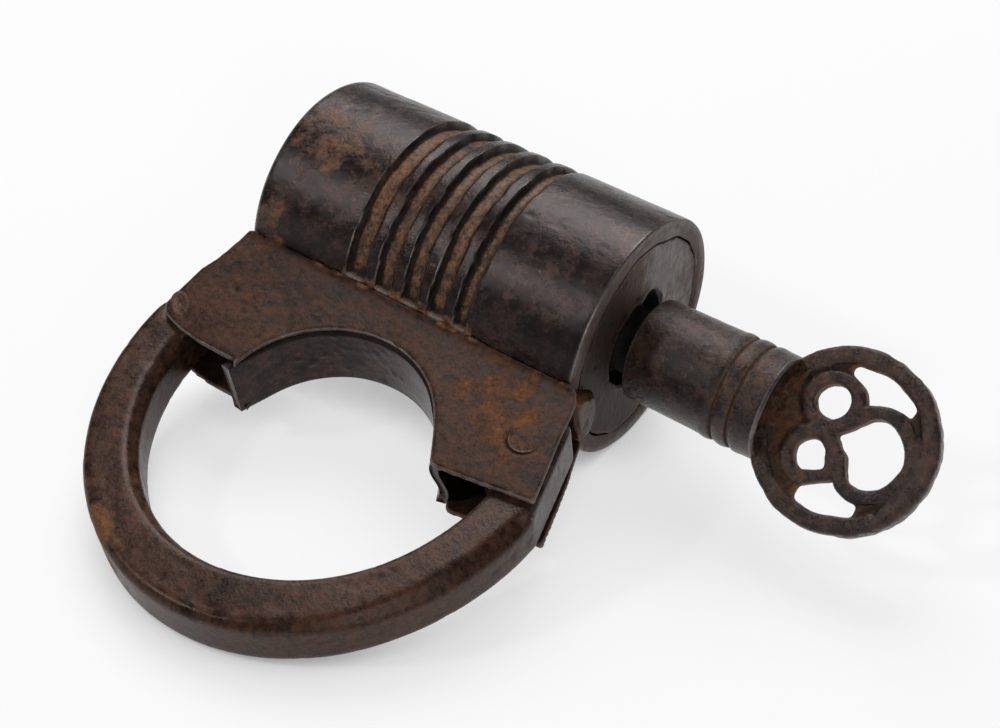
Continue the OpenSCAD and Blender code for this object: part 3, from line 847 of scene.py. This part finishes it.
def cheek(name, low, high, top_side):
    """One cheek: the field is the largest of the outline's distance, the heights above and below,
    and the depth into the barrel, so its faces meet at crisp worn edges. A crack opens round the
    stay rivet, a bead of scale runs along the top seam, and rust blooms in clouds."""
    outline = cheek_outline(0.0 if top_side else LOWER_SET_BACK)
    x, y, z, flat = flat_field(outline, low, high, CHEEK_CELL)
    barrel = BARREL_R - 0.05 - np.hypot(y, z)
    field = np.maximum(np.maximum(flat + 0.0 * z, barrel + 0.0 * x), np.maximum(z - high, low - z))
    points, faces = carved(x, y, z, field)
    at_x, at_y, at_z = points.T
    outer_side = np.abs(at_z - (high if top_side else low)) < 0.1
    shaded_inner_side = np.abs(at_z - (low if top_side else high)) < 0.1
    stay = np.hypot(at_x - STAY[0], at_y - STAY[1])
    turn = np.arctan2(at_y - STAY[1], at_x - STAY[0])
    crack = bell(stay, STAY_R + 0.12, 0.30) * (0.05 + 0.95 * bell(turn, -1.65, 1.05)) * outer_side
    wave = 0.08 * turbulence(points, 13.0, 83, 2) * outer_side
    rough = smooth(noise(points, 1.7, 63), -0.4, 0.6)
    bead = 0.32 * smooth(at_y, SEAM_Y - 1.6, SEAM_Y) * rough * outer_side * top_side
    seam = smooth(at_y, SEAM_Y - 4.0, SEAM_Y - 0.5)
    sides = smooth(np.abs(at_x + 1.0), 9.0, 22.0)
    bloom = sum(share * bell(np.hypot(at_x - bloom_x, at_y - bloom_y), 0.0, wide)
                for bloom_x, bloom_y, wide, share in BLOOMS)
    rust = 0.10 + 0.35 * sides * smooth(noise(points, 7.0, 61), -0.4, 0.6)
    rust += 0.15 * seam + 0.3 * bell(stay, 3.2, 1.2)
    rust += 0.85 * bloom * smooth(turbulence(points, 2.6, 67), -0.7, 0.6) + 0.5 * (not top_side)
    dust = 0.75 * smooth(at_y, SEAM_Y - 1.6, SEAM_Y - 0.3) * rough * outer_side
    # The inner faces, towards the other cheek, are darkened all over: painted shade inside the housing. The
    # crack round the stay rivet and a band along the seam with the barrel on the outer face are darkened too.
    dirt_and_shade = 1.0 * shaded_inner_side + 1.6 * crack
    dirt_and_shade += 0.7 * bell(at_y, SEAM_Y - 0.3, 0.8) * (1.0 - rough) * outer_side
    return forged(name, points, faces, hammer=0.35, pits=0.45, rust=rust,
                  shift=-0.36 * crack + wave + bead - 0.06, dirt_and_shade=dirt_and_shade, dust=dust)


class PADLOCK_OT_housing(bpy.types.Operator):
    """Build the housing: two cheeks, the curved web between them and the toe guard"""
    bl_idname = "padlock.housing"
    bl_label = "Housing"

    def execute(self, context):
        low, top = housing_span()
        thick = size("cheek")
        plate = finish_of("forged_cheek")
        upper = cheek("upper_cheek_worn", top - thick, top, True)
        settle(upper, "case", "cheek_iron", plate, "upper_cheek")
        lower = cheek("lower_cheek_worn", low, low + thick, False)
        settle(lower, "case", "cheek_iron", plate, "lower_cheek")
        self.web(low, top - thick, size("web"))
        self.guard()
        return {"FINISHED"}

    def web(self, low, high, thick):
        """The web's section, a thin upright strip, is carried round the hollow. Towards each end the
        radius grows with the square of the distance left, and the last stretch ripples."""
        start, end = np.radians(10.0), np.radians(177.0)
        angles = np.linspace(start, end, 170)
        strip = along((0.0, low), (thick, low), (thick, high), (0.0, high), (0.0, low), step=0.3)
        height = (strip[:, 1] - low) / (high - low)
        flare = 1.5 * np.clip(1.0 - (angles - start) / 0.6, 0.0, 1.0) ** 2
        flare += 0.9 * np.clip(1.0 - (end - angles) / 0.35, 0.0, 1.0) ** 2
        fade = np.clip(1.0 - (angles - start) / 0.5, 0.0, 1.0)
        ripple = 0.5 * fade[:, None] * np.sin(7.5 * height - 0.6)
        reach = HOLLOW_R - 0.05 + strip[:, 0] + flare[:, None] + ripple
        points = np.stack([HOLLOW[0] + reach * np.cos(angles)[:, None],
                           HOLLOW[1] + reach * np.sin(angles)[:, None],
                           np.broadcast_to(strip[:, 1], reach.shape)], axis=-1)
        rows, columns = reach.shape
        caps = []
        for first in (0, (rows - 1) * columns):
            ring = np.arange(columns) + first
            half = columns // 2
            lower, upper = ring[:half], ring[::-1][:half]
            quads = np.stack([lower[:-1], lower[1:], upper[1:], upper[:-1]], axis=1)
            caps.append(quads[:, ::-1] if first else quads)
        faces = np.concatenate([grid_faces(rows, columns, wrap_columns=True)[:, ::-1], *caps])
        flat = points.reshape(-1, 3)
        rust = 0.25 + 0.3 * smooth(noise(flat, 6.0, 19), -0.2, 0.7)
        web = forged("housing_web_worn", flat, faces, hammer=1.3, pits=1.2, rust=rust)
        settle(web, "case", "cheek_iron", finish_of("forged_web"), "housing_web")

    def guard(self):
        """A shield-shaped block: the largest of the shield's outline distance and its two ends, less
        a chamfer round its leaning outer end."""
        back, front = END_X - SHIELD_BACK - 0.2, END_X + SHIELD_OUT + 0.1
        y, z, x, flat = flat_field(SHIELD, back, front, SHIELD_CELL)
        barrel = (BARREL_R - 0.1 - np.hypot(y, z)) + 0.0 * x
        inside = np.where(x < END_X, barrel, -9.0)
        outer_end = x - END_X - SHIELD_OUT + 0.10 * (y + 16.0)
        field = np.maximum(np.maximum(flat, inside), np.maximum(outer_end, END_X - SHIELD_BACK - x))
        chamfer = (flat + outer_end + 0.7) / math.sqrt(2.0)
        points, faces = carved(y, z, x, np.maximum(field, chamfer))
        points = points[:, [2, 0, 1]]
        rust = 0.2 + 0.9 * smooth(points[:, 2], 3.0, 6.0)
        guard = forged("toe_guard_worn", points, faces, hammer=0.8, pits=1.0, rust=rust)
        settle(guard, "case", "cheek_iron", finish_of("forged_guard"), "toe_guard")


class PADLOCK_OT_rivets(bpy.types.Operator):
    """Build the domed hinge rivet and the flush rivet at the toe"""
    bl_idname = "padlock.rivets"
    bl_label = "Rivets"

    def execute(self, context):
        low, top = housing_span()
        pin, head = 1.3, 2.7
        domed = along((low - 0.30, AXIS_R), (low - 0.24, head * 0.7), (low + 0.05, head), (low + 0.3, pin),
                      (top - 0.3, pin), (top - 0.05, head), (top + 0.20, head * 0.8), (top + 0.26, AXIS_R),
                      (low - 0.30, AXIS_R), step=0.14)
        self.rivet("hinge_rivet", domed, HINGE[:2], top, dish=0.26, narrow=0.56)
        flush = along((low + 0.02, AXIS_R), (low, STAY_R - 0.25), (low + 0.25, STAY_R), (top - 0.15, STAY_R),
                      (top - 0.06, STAY_R - 0.1), (top - 0.03, AXIS_R), (low + 0.02, AXIS_R), step=0.14)
        self.rivet("stay_rivet", flush, STAY, top, dish=0.03, narrow=1.0)
        return {"FINISHED"}

    def rivet(self, node, profile, centre, top, dish, narrow):
        """A turned rivet stood upright: the turning axis X becomes Z, the head's middle is dished, and
        across the slanting line between X and Y it is as narrow as that share of its width."""
        points, faces = turned(profile, RIVET_TURNS)
        across = np.hypot(points[:, 1], points[:, 2])
        u = (points[:, 2] - points[:, 1]) / math.sqrt(2.0)
        v = (points[:, 2] + points[:, 1]) / math.sqrt(2.0) * narrow
        upright = np.stack([centre[0] + (u + v) / math.sqrt(2.0), centre[1] + (v - u) / math.sqrt(2.0),
                            points[:, 0]], axis=1)
        upright[:, 2] -= dish * bell(across, 0.0, 1.5) * (upright[:, 2] > top - 0.2)
        rust = 0.25 * bell(across, 0.3, 1.2) + 0.1
        piece = forged(node + "_worn", upright, faces, hammer=0.25, pits=0.4, rust=rust)
        settle(piece, "case", "rivet_iron", finish_of("forged_rivet"), node)


# ---------------------------------------------------------------- shackle

BOW_MID = np.array([1.85, HINGE[1] - 0.8])
BOW_OUT = np.array([33.3, 37.8])   # half axes of the bow's outer and inner ellipses
BOW_IN = np.array([26.2, 29.7])
HORN_X = END_X - 9.3               # where the horn crosses the bolt's line
HORN_Y = -8.3                      # how far it reaches into the barrel
HORN_HALF = 2.05
BOLT_Y = -BARREL_R + 6.1
BOLT_EYE_R = 2.3
HINGE_HOLE_R = 1.85


def polar(radius, angle):
    """A point at that radius and angle in degrees about the hinge."""
    return HINGE[:2] + radius * np.array([math.cos(math.radians(angle)), math.sin(math.radians(angle))])


def shackle_outline():
    """The shackle from above: round the outer ellipse, straight up the toe's outer face, over the
    tongue, down and up round the stay rivet's slot, over the horn's tip, back down its inner arc,
    round the inner ellipse and about the hinge."""
    horn_mid = float(np.hypot(HORN_X - HINGE[0], BOLT_Y - HINGE[1]))
    horn_in, horn_out = horn_mid - HORN_HALF, horn_mid + HORN_HALF
    stay = float(np.hypot(*(STAY - HINGE[:2])))
    slot_out = stay + STAY_R + 0.32
    rest = math.degrees(math.asin(6.0 / stay)) - math.degrees(math.asin((STAY_R + 0.6) / stay))
    tip = math.degrees(math.asin((HORN_Y - HINGE[1]) / horn_mid))
    rise = math.degrees(math.asin(11.6 / slot_out))
    bow_out = arc(BOW_MID, BOW_OUT, 180.0, 357.0, 150)
    bow_in = arc(BOW_MID, BOW_IN, 357.0, 180.0, 120)
    tongue = [[END_X + 3.5, HINGE[1] + 11.4], [END_X + 3.0, HINGE[1] + 12.1], [END_X + 2.2, HINGE[1] + 12.2]]
    slot_wall = [polar(slot_out, a) for a in np.linspace(rise, rest, 14)]
    horn_wall = [polar(horn_out, a) for a in np.linspace(rest, tip - 0.8, 26)]
    horn_tip = [polar(horn_out - 0.9, tip), polar(horn_in + 0.9, tip)]
    horn_back = [polar(horn_in, a) for a in np.linspace(tip - 0.8, 3.6, 24)]
    eye = arc(HINGE[:2], (3.45, 3.45), 20.0, 165.0, 16)
    return np.concatenate([bow_out, tongue, slot_wall, horn_wall, horn_tip, horn_back, bow_in, eye])


def bow_place(x, y):
    """Degrees round the bow's middle, and how far out: 1 on the outer ellipse."""
    turn = np.degrees(np.arctan2(y - BOW_MID[1], x - BOW_MID[0])) % 360.0
    return turn, np.hypot((x - BOW_MID[0]) / BOW_OUT[0], (y - BOW_MID[1]) / BOW_OUT[1])


class PADLOCK_OT_shackle(bpy.types.Operator):
    """Build the flat forged shackle with its toe, horn and hinge eye"""
    bl_idname = "padlock.shackle"
    bl_label = "Shackle"

    def execute(self, context):
        low, top = housing_span()
        gap = size("shackle_gap") + 0.02
        points, faces = self.bar(low + size("cheek") + gap, top - size("cheek") - gap)
        shackle = forged("shackle_worn", points, faces, hammer=0.6, pits=0.6, rust=self.rust(points))
        settle(shackle, "shackle", "shackle_iron", finish_of("forged_shackle"), "shackle")
        return {"FINISHED"}

    def bar(self, low, top):
        """A flat bar cut to the outline, less the rivet's hole and the bolt's eye, with a chamfer
        that is widest outside on the right and inside on the left."""
        x, y, z, flat = flat_field(shackle_outline(), low, top, SHACKLE_CELL)
        turn, level = bow_place(x, y)
        outside = smooth(level, 0.86, 0.92)
        bow = smooth(-y, 35.0, 38.0)
        outer = 0.5 + bow * (0.5 * smooth(turn, 215.0, 260.0) + 0.9 * smooth(turn, 280.0, 330.0))
        inner = 0.45 + 1.1 * bow * (1.0 - smooth(turn, 235.0, 290.0))
        chamfer = outer * outside + inner * (1.0 - outside)
        upper = (flat + (z - top) + chamfer) / math.sqrt(2.0)
        lower = (flat + (low - z) + 0.6) / math.sqrt(2.0)
        field = np.maximum(np.maximum(flat, np.maximum(z - top, low - z)), np.maximum(upper, lower))
        hinge_hole = HINGE_HOLE_R - np.hypot(x - HINGE[0], y - HINGE[1])
        eye = BOLT_EYE_R - np.hypot(y - BOLT_Y, z - (low + top) / 2)
        bolt_eye = np.minimum(eye, 8.0 - np.abs(x - END_X + 8.0))
        return carved(x, y, z, np.maximum(np.maximum(field, hinge_hole), bolt_eye))

    def rust(self, points):
        """Rust gathers at the bow's lower left outside edge and in clouds elsewhere."""
        turn, level = bow_place(points[:, 0], points[:, 1])
        patch = bell(turn, 247.0, 13.0) * smooth(level, 0.90, 0.97)
        patch *= smooth(noise(points, 2.4, 91), -0.7, 0.3)
        return 1.5 * patch + 0.5 * smooth(turbulence(points, 10.0, 101), 0.0, 0.9)


# ---------------------------------------------------------------- key

SHANK_R = 7.55
RINGS = ((15.75, 0.8, 1.0), (13.2, 0.7, 1.0), (18.2, 0.7, 0.7))  # place from the mouth, width, share
SCORES = ((14.5, 0.26, 0.34), (17.1, 0.28, 0.38))                # place from the mouth, width, depth
BOW_R = 13.3
BOW_X = 60.8                   # the bow's middle along the barrel
BOW_TURN = math.radians(33.0)  # its turn about the key's axis
BAR = 1.17                     # half the width of the bar round an opening
ROOT = (-10.6, 2.6)            # the sunk, rusty place where the bow enters the shank


class PADLOCK_OT_key(bpy.types.Operator):
    """Build the key: its threaded tip, its turned shank and its pierced bow"""
    bl_idname = "padlock.key"
    bl_label = "Key"

    def execute(self, context):
        dark = finish_of("forged_key")
        self.screw(size("thread_pitch"), dark)
        self.shank(dark)
        self.bow(size("bow_rim"), size("bow_thick"), dark)
        return {"FINISHED"}

    def screw(self, pitch, look):
        """A threaded bar: the radius dips by the thread's depth as x less a share of the turn passes
        through each pitch."""
        start, end = END_X + 1.9 - SCREW_L, END_X + 1.9
        profile = along((start, AXIS_R), (start, SCREW_R - 1.1), (start + 0.6, SCREW_R), (end, SCREW_R),
                        (end, AXIS_R), (start, AXIS_R), step=0.28)

        def shape(x, r, angle):
            phase = (x / pitch - angle / (2.0 * np.pi)) % 1.0
            groove = smooth(np.abs(phase - 0.5), 0.5, 0.12)
            full = smooth(r, SCREW_R - 0.9, SCREW_R - 0.1) * smooth(x, start, start + 1.5)
            neck = smooth(x, END_X - 2.6, END_X - 1.8) * full
            return x, r - np.maximum(0.85 * groove * full, 1.5 * neck)

        points, faces = turned(profile, SCREW_TURNS, KEY_AXIS[1:], shape)
        # The screw is darkened from just inside the plate out to its end: painted shade in the gap between
        # the shank's mouth and the plate.
        screw = forged("key_screw_threaded", points, faces, hammer=0.1, pits=0.4,
                       dirt_and_shade=1.6 * smooth(points[:, 0], END_X - 4.0, END_X - 2.5))
        settle(screw, "key", "key_iron", look, "key_screw")

    def shank(self, look):
        """The turned shank: a rounded mouth, a slight taper and two scored lines beside low rings."""
        low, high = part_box("key_shank")
        mouth, end = (in_lock((x, low.y, low.z))[0] for x in (low.x, high.x))
        bore = SCREW_R + 0.1
        profile = along((mouth + 2.0, AXIS_R), (mouth + 2.0, bore), (mouth + 0.35, bore),
                        (mouth, bore + 0.35), (mouth, SHANK_R - 0.55), (mouth + 0.45, SHANK_R),
                        (end - 0.5, SHANK_R + 0.2), (end, SHANK_R - 0.2), (end - 0.1, SHANK_R - 0.7),
                        (end - 1.5, SHANK_R - 1.7), (end - 1.9, AXIS_R), (mouth + 2.0, AXIS_R), step=0.3)

        def shape(x, r, angle):
            side = smooth(r, SHANK_R - 0.3, SHANK_R - 0.05)
            ring = 0.17 * sum(share * bell(x - mouth, place, width) for place, width, share in RINGS)
            score = sum(depth * bell(x - mouth, place, width) for place, width, depth in SCORES)
            return x, r + side * (ring - score + 0.10 * np.sin(2 * angle + 0.7) + 0.05 * np.sin(5 * angle))

        points, faces = turned(profile, SHANK_TURNS, KEY_AXIS[1:], shape)
        at = points[:, 0] - mouth
        radius = np.hypot(points[:, 1] - KEY_AXIS[1], points[:, 2] - KEY_AXIS[2])
        scored = sum(bell(at, score[0], 0.38) for score in SCORES)
        cup = smooth(at, 19.2, 20.4) * (radius < SHANK_R - 0.5)
        rust = 0.9 * scored + 0.3 * smooth(turbulence(points, 6.0, 121), -0.2, 0.8) + 0.8 * cup
        # The mouth is darkened, which paints the shade of the gap before the plate. The cup where the bow
        # enters is darkened too.
        dirt_and_shade = 0.8 * (1.0 - smooth(at, 0.0, 0.9)) + 0.5 * cup
        piece = forged("key_shank_worn", points, faces, hammer=0.9, pits=0.9, rust=rust,
                       dust=0.75 * scored, dirt_and_shade=dirt_and_shade)
        settle(piece, "key", "key_iron", look, "key_shank")

    def bow(self, rim, thick, look):
        """The pierced bow, worked out flat and then turned about the key's axis. Rust gathers at its root
        and in the crevices of its fillings, and the root is darker, most on its upper side."""
        points, faces = carved(*self.pierced(rim, thick))
        flat_x, flat_y, flat_z = points.T
        root = bell(np.hypot((flat_x - ROOT[0]) / 3.2, (flat_y - ROOT[1]) / 6.0), 0.0, 1.0)
        crevice = smooth(thick / 2 - np.abs(flat_z), 0.5, 1.0) * (np.hypot(flat_x, flat_y) < BOW_R - 1.5)
        rust = 1.6 * root + 0.35 * smooth(turbulence(points, 5.0, 141), -0.1, 0.9) + 1.1 * crevice
        c, s = math.cos(BOW_TURN), math.sin(BOW_TURN)
        turned_points = np.stack([BOW_X + flat_x, KEY_AXIS[1] + flat_y * c - flat_z * s,
                                  KEY_AXIS[2] + flat_y * s + flat_z * c], axis=1)
        crumbs = -0.06 * (1.0 + turbulence(turned_points, 1.1, 157, 2))
        piece = forged("key_bow_worn", turned_points, faces, hammer=0.9, pits=1.3, rust=rust, shift=crumbs,
                       dust=0.55 * root, dirt_and_shade=root * (0.1 + 0.5 * smooth(flat_y, 2.5, 6.0)))
        settle(piece, "key", "key_iron", look, "key_bow")

    def pierced(self, rim, thick):
        """The bow's grid and field in its own plane: a round rim, a bar round each opening and thin
        fillings between them, each with its own rounded section, joined by a soft minimum."""
        reach = BOW_R + 0.8
        x = np.arange(-reach, reach, BOW_CELL)[:, None, None]
        y = np.arange(-reach, reach, BOW_CELL)[None, :, None]
        z = np.arange(-thick / 2 - 0.8, thick / 2 + 0.8, BOW_CELL)[None, None, :]
        flat_x, flat_y = np.broadcast_arrays(x[:, :, 0], y[:, :, 0])
        flat = np.stack([flat_x, flat_y, 0.0 * flat_x], axis=-1)
        warp = 0.16 * noise(flat, 3.4, 151) + 0.10 * noise(flat, 1.6, 153)
        plan = flat[..., :2].reshape(-1, 2)
        openings = [outline_distance(plan, hole).reshape(warp.shape) + warp for hole in bow_openings()]
        middle = np.hypot(flat_x - 0.3, flat_y + 0.15)
        band = BOW_R - 0.22 - rim / 2
        sunk = bell(np.hypot((flat_x - ROOT[0]) / 2.9, (flat_y - ROOT[1]) / 5.6), 0.0, 1.0)
        rim_half = thick / 2 - 1.2 * smooth(sunk, 0.25, 0.75)[:, :, None]
        bars = [(np.abs(middle - band + warp) / (rim / 2), rim_half)]
        bars += [(np.abs(hole - BAR) / BAR, thick / 2 - 0.15) for hole in openings]
        field = 9.0 + 0.0 * z
        for across, half in bars:
            section = (across[:, :, None] ** 4.0 + (np.abs(z) / half) ** 4.0) ** 0.25
            field = soft_least(field, (section - 1.0) * 1.2, 0.10)
        between = np.minimum(flat_x + 2.7, np.where(flat_y > 0.0, 7.0, 5.4) - flat_x)
        filling = np.maximum(np.maximum(between, middle - band), -np.minimum.reduce(openings))
        return x, y, z, soft_least(field, np.maximum(filling[:, :, None], np.abs(z) - 0.75), 0.10)


def soft_least(first, second, blend):
    """The smaller of two fields, rounded where they are within blend of each other."""
    share = np.clip(0.5 + 0.5 * (second - first) / blend, 0.0, 1.0)
    return second + (first - second) * share - blend * share * (1.0 - share)


def bow_openings():
    """The three openings with a bar round them: a round eye, a rounded half-moon, and a drop with
    its point between the two."""
    upper_eye = arc((-3.3, 4.0), (2.15, 2.15), 0.0, 345.0, 24)
    lower_eye = np.concatenate([[[-0.75, -4.6]], arc((-3.1, -3.75), (2.05, 2.1), 50.0, 262.0, 20)])
    drop = np.concatenate([[[-0.8, 0.0]], [[1.5, -1.9]], arc((4.6, -0.4), (4.0, 4.6), -112.0, 118.0, 36)])
    return upper_eye, lower_eye, drop


# ---------------------------------------------------------------- works

WORKS = {
    "guide_plate": "dull_steel",
    "bolt_piston": "dull_steel",
    "bolt_nose": "dull_steel",
    "bolt_guide_rod": "dull_steel",
    "spring_seat": "dull_steel",
    "bolt_spring": "spring_wire",
}


class PADLOCK_OT_works(bpy.types.Operator):
    """Finish the hidden works: guide plate, bolt, spring and spring seat"""
    bl_idname = "padlock.works"
    bl_label = "Works"

    def execute(self, context):
        for node, look in WORKS.items():
            slots = frame["nodes"][node].data.materials
            slots.clear()
            slots.append(finish_of(look))
        return {"FINISHED"}


# ---------------------------------------------------------------- stage

# Name, place in metres, width and power: a wide soft lamp high behind, a small one in front on the
# left whose reflection runs along the barrel, and a weak one in front on the right.
LAMPS = (("soft_box", (-0.30, 0.46, 0.76), 0.66, 6.6),
         ("left_strip", (-0.425, -0.49, 0.55), 0.10, 1.7),
         ("right_fill", (0.54, -0.47, 0.35), 0.22, 1.0))
WORLD_LIGHT = 0.18
FLOOR_REACH = 3.0
CONTACT_SHADE = (0.30, 0.30, 0.31)  # the floor's shade close under the lock
CONTACT_REACH = 0.012
PAPER_LIGHT = 1.08                  # strength of the floor's own light as it is seen, and its share
PAPER_SHARE = 0.72
AIM = Vector((13.903, -14.149, 0.0))
SENSOR = 36.0


class PADLOCK_OT_stage(bpy.types.Operator):
    """Set the floor, the lamps, the world and the camera"""
    bl_idname = "padlock.stage"
    bl_label = "Stage"

    def execute(self, context):
        self.floor(context)
        self.lamps(context)
        self.camera(context)
        context.scene.view_settings.view_transform = "Standard"
        return {"FINISHED"}

    def floor(self, context):
        """A pale square. What sees it directly, in a reflection or through a hole sees mostly its own
        light, darkened where the lock stands close over it; other rays meet plain paper."""
        stage = context.scene.padlock_stage
        corners = [(x * FLOOR_REACH, y * FLOOR_REACH, 0.0) for x, y in ((-1, -1), (1, -1), (1, 1), (-1, 1))]
        mesh = bpy.data.meshes.new("floor")
        mesh.from_pydata(corners, [], [(0, 1, 2, 3)])
        floor = bpy.data.objects.new("floor", mesh)
        context.scene.collection.objects.link(floor)
        web = Web("floor_paper")
        shader = web.add("ShaderNodeBsdfPrincipled", {},
                         {"Base Color": (*stage.floor, 1.0), "Roughness": 0.85, "Specular IOR Level": 0.0})
        open_share = web.add("ShaderNodeAmbientOcclusion", {"samples": 16}, {"Distance": CONTACT_REACH}, "AO")
        paper = web.mix(open_share.step(0.05, 0.75), CONTACT_SHADE, stage.floor)
        bright = web.add("ShaderNodeEmission", {}, {"Color": paper, "Strength": PAPER_LIGHT})
        camera, glossy, through = (web.add("ShaderNodeLightPath", {}, {}, "Is %s Ray" % kind)
                                   for kind in ("Camera", "Glossy", "Transmission"))
        share = (camera + glossy + through).clamped() * PAPER_SHARE
        web.add_output(web.add("ShaderNodeMixShader", {}, {0: share, 1: shader, 2: bright}))
        mesh.materials.append(web.material)

    def lamps(self, context):
        """Round area lamps that all face the lock, and an even pale world."""
        for name, place, width, power in LAMPS:
            data = bpy.data.lights.new(name, "AREA")
            data.shape = "DISK"
            data.size = width
            data.energy = power
            lamp = bpy.data.objects.new(name, data)
            lamp.location = place
            lamp.rotation_euler = (-Vector(place)).to_track_quat("-Z", "Y").to_euler()
            context.scene.collection.objects.link(lamp)
        world = bpy.data.worlds.new("pale_room")
        world.use_nodes = True
        background = world.node_tree.nodes["Background"]
        background.inputs["Color"].default_value = (1.0, 1.0, 1.0, 1.0)
        background.inputs["Strength"].default_value = WORLD_LIGHT
        context.scene.world = world

    def camera(self, context):
        """The camera stands off its aim by azimuth and elevation in the lock's frame, rolled about
        its view line, and is then carried into the row frame."""
        stage = context.scene.padlock_stage
        a, e, roll = stage.azimuth, stage.elevation, stage.roll
        back = Vector((math.sin(a) * math.cos(e), -math.cos(a) * math.cos(e), math.sin(e)))
        right = Vector((0, 0, 1)).cross(back).normalized()
        up = back.cross(right)
        side = math.cos(roll) * right + math.sin(roll) * up
        top = math.cos(roll) * up - math.sin(roll) * right
        turn = Matrix((side, top, back)).transposed().to_4x4()
        data = bpy.data.cameras.new("camera")
        data.lens = stage.lens
        data.sensor_width = SENSOR
        data.clip_start = 0.01
        data.clip_end = 20.0
        camera = bpy.data.objects.new("camera", data)
        camera.matrix_world = TO_ROW @ Matrix.Translation(AIM * MM + back * stage.distance) @ turn
        context.scene.collection.objects.link(camera)
        context.scene.camera = camera


# ---------------------------------------------------------------- panel and registration

STEPS = ("barrel", "end_plates", "housing", "rivets", "shackle", "key", "works", "stage")


class PADLOCK_PT_panel(bpy.types.Panel):
    """Lists the padlock's builders and their sizes and colours"""
    bl_idname = "PADLOCK_PT_panel"
    bl_label = "Padlock"
    bl_space_type = "VIEW_3D"
    bl_region_type = "UI"
    bl_category = "Padlock"

    def draw(self, context):
        for step in STEPS:
            self.layout.operator("padlock." + step)
        scene = context.scene
        for group in (scene.padlock_sizes, scene.padlock_colours, scene.padlock_stage):
            for key in group.__annotations__:
                self.layout.prop(group, key)


CLASSES = (PadlockSizes, PadlockColours, PadlockStage, PADLOCK_OT_barrel, PADLOCK_OT_end_plates,
           PADLOCK_OT_housing, PADLOCK_OT_rivets, PADLOCK_OT_shackle, PADLOCK_OT_key, PADLOCK_OT_works,
           PADLOCK_OT_stage, PADLOCK_PT_panel)


def register():
    for item in CLASSES:
        bpy.utils.register_class(item)
    bpy.types.Scene.padlock_sizes = bpy.props.PointerProperty(type=PadlockSizes)
    bpy.types.Scene.padlock_colours = bpy.props.PointerProperty(type=PadlockColours)
    bpy.types.Scene.padlock_stage = bpy.props.PointerProperty(type=PadlockStage)


def unregister():
    del bpy.types.Scene.padlock_stage
    del bpy.types.Scene.padlock_colours
    del bpy.types.Scene.padlock_sizes
    for item in reversed(CLASSES):
        bpy.utils.unregister_class(item)


def main():
    """Registers the add-on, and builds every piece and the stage."""
    register()
    for step in STEPS:
        getattr(bpy.ops.padlock, step)()


if __name__ == "__main__":
    main()
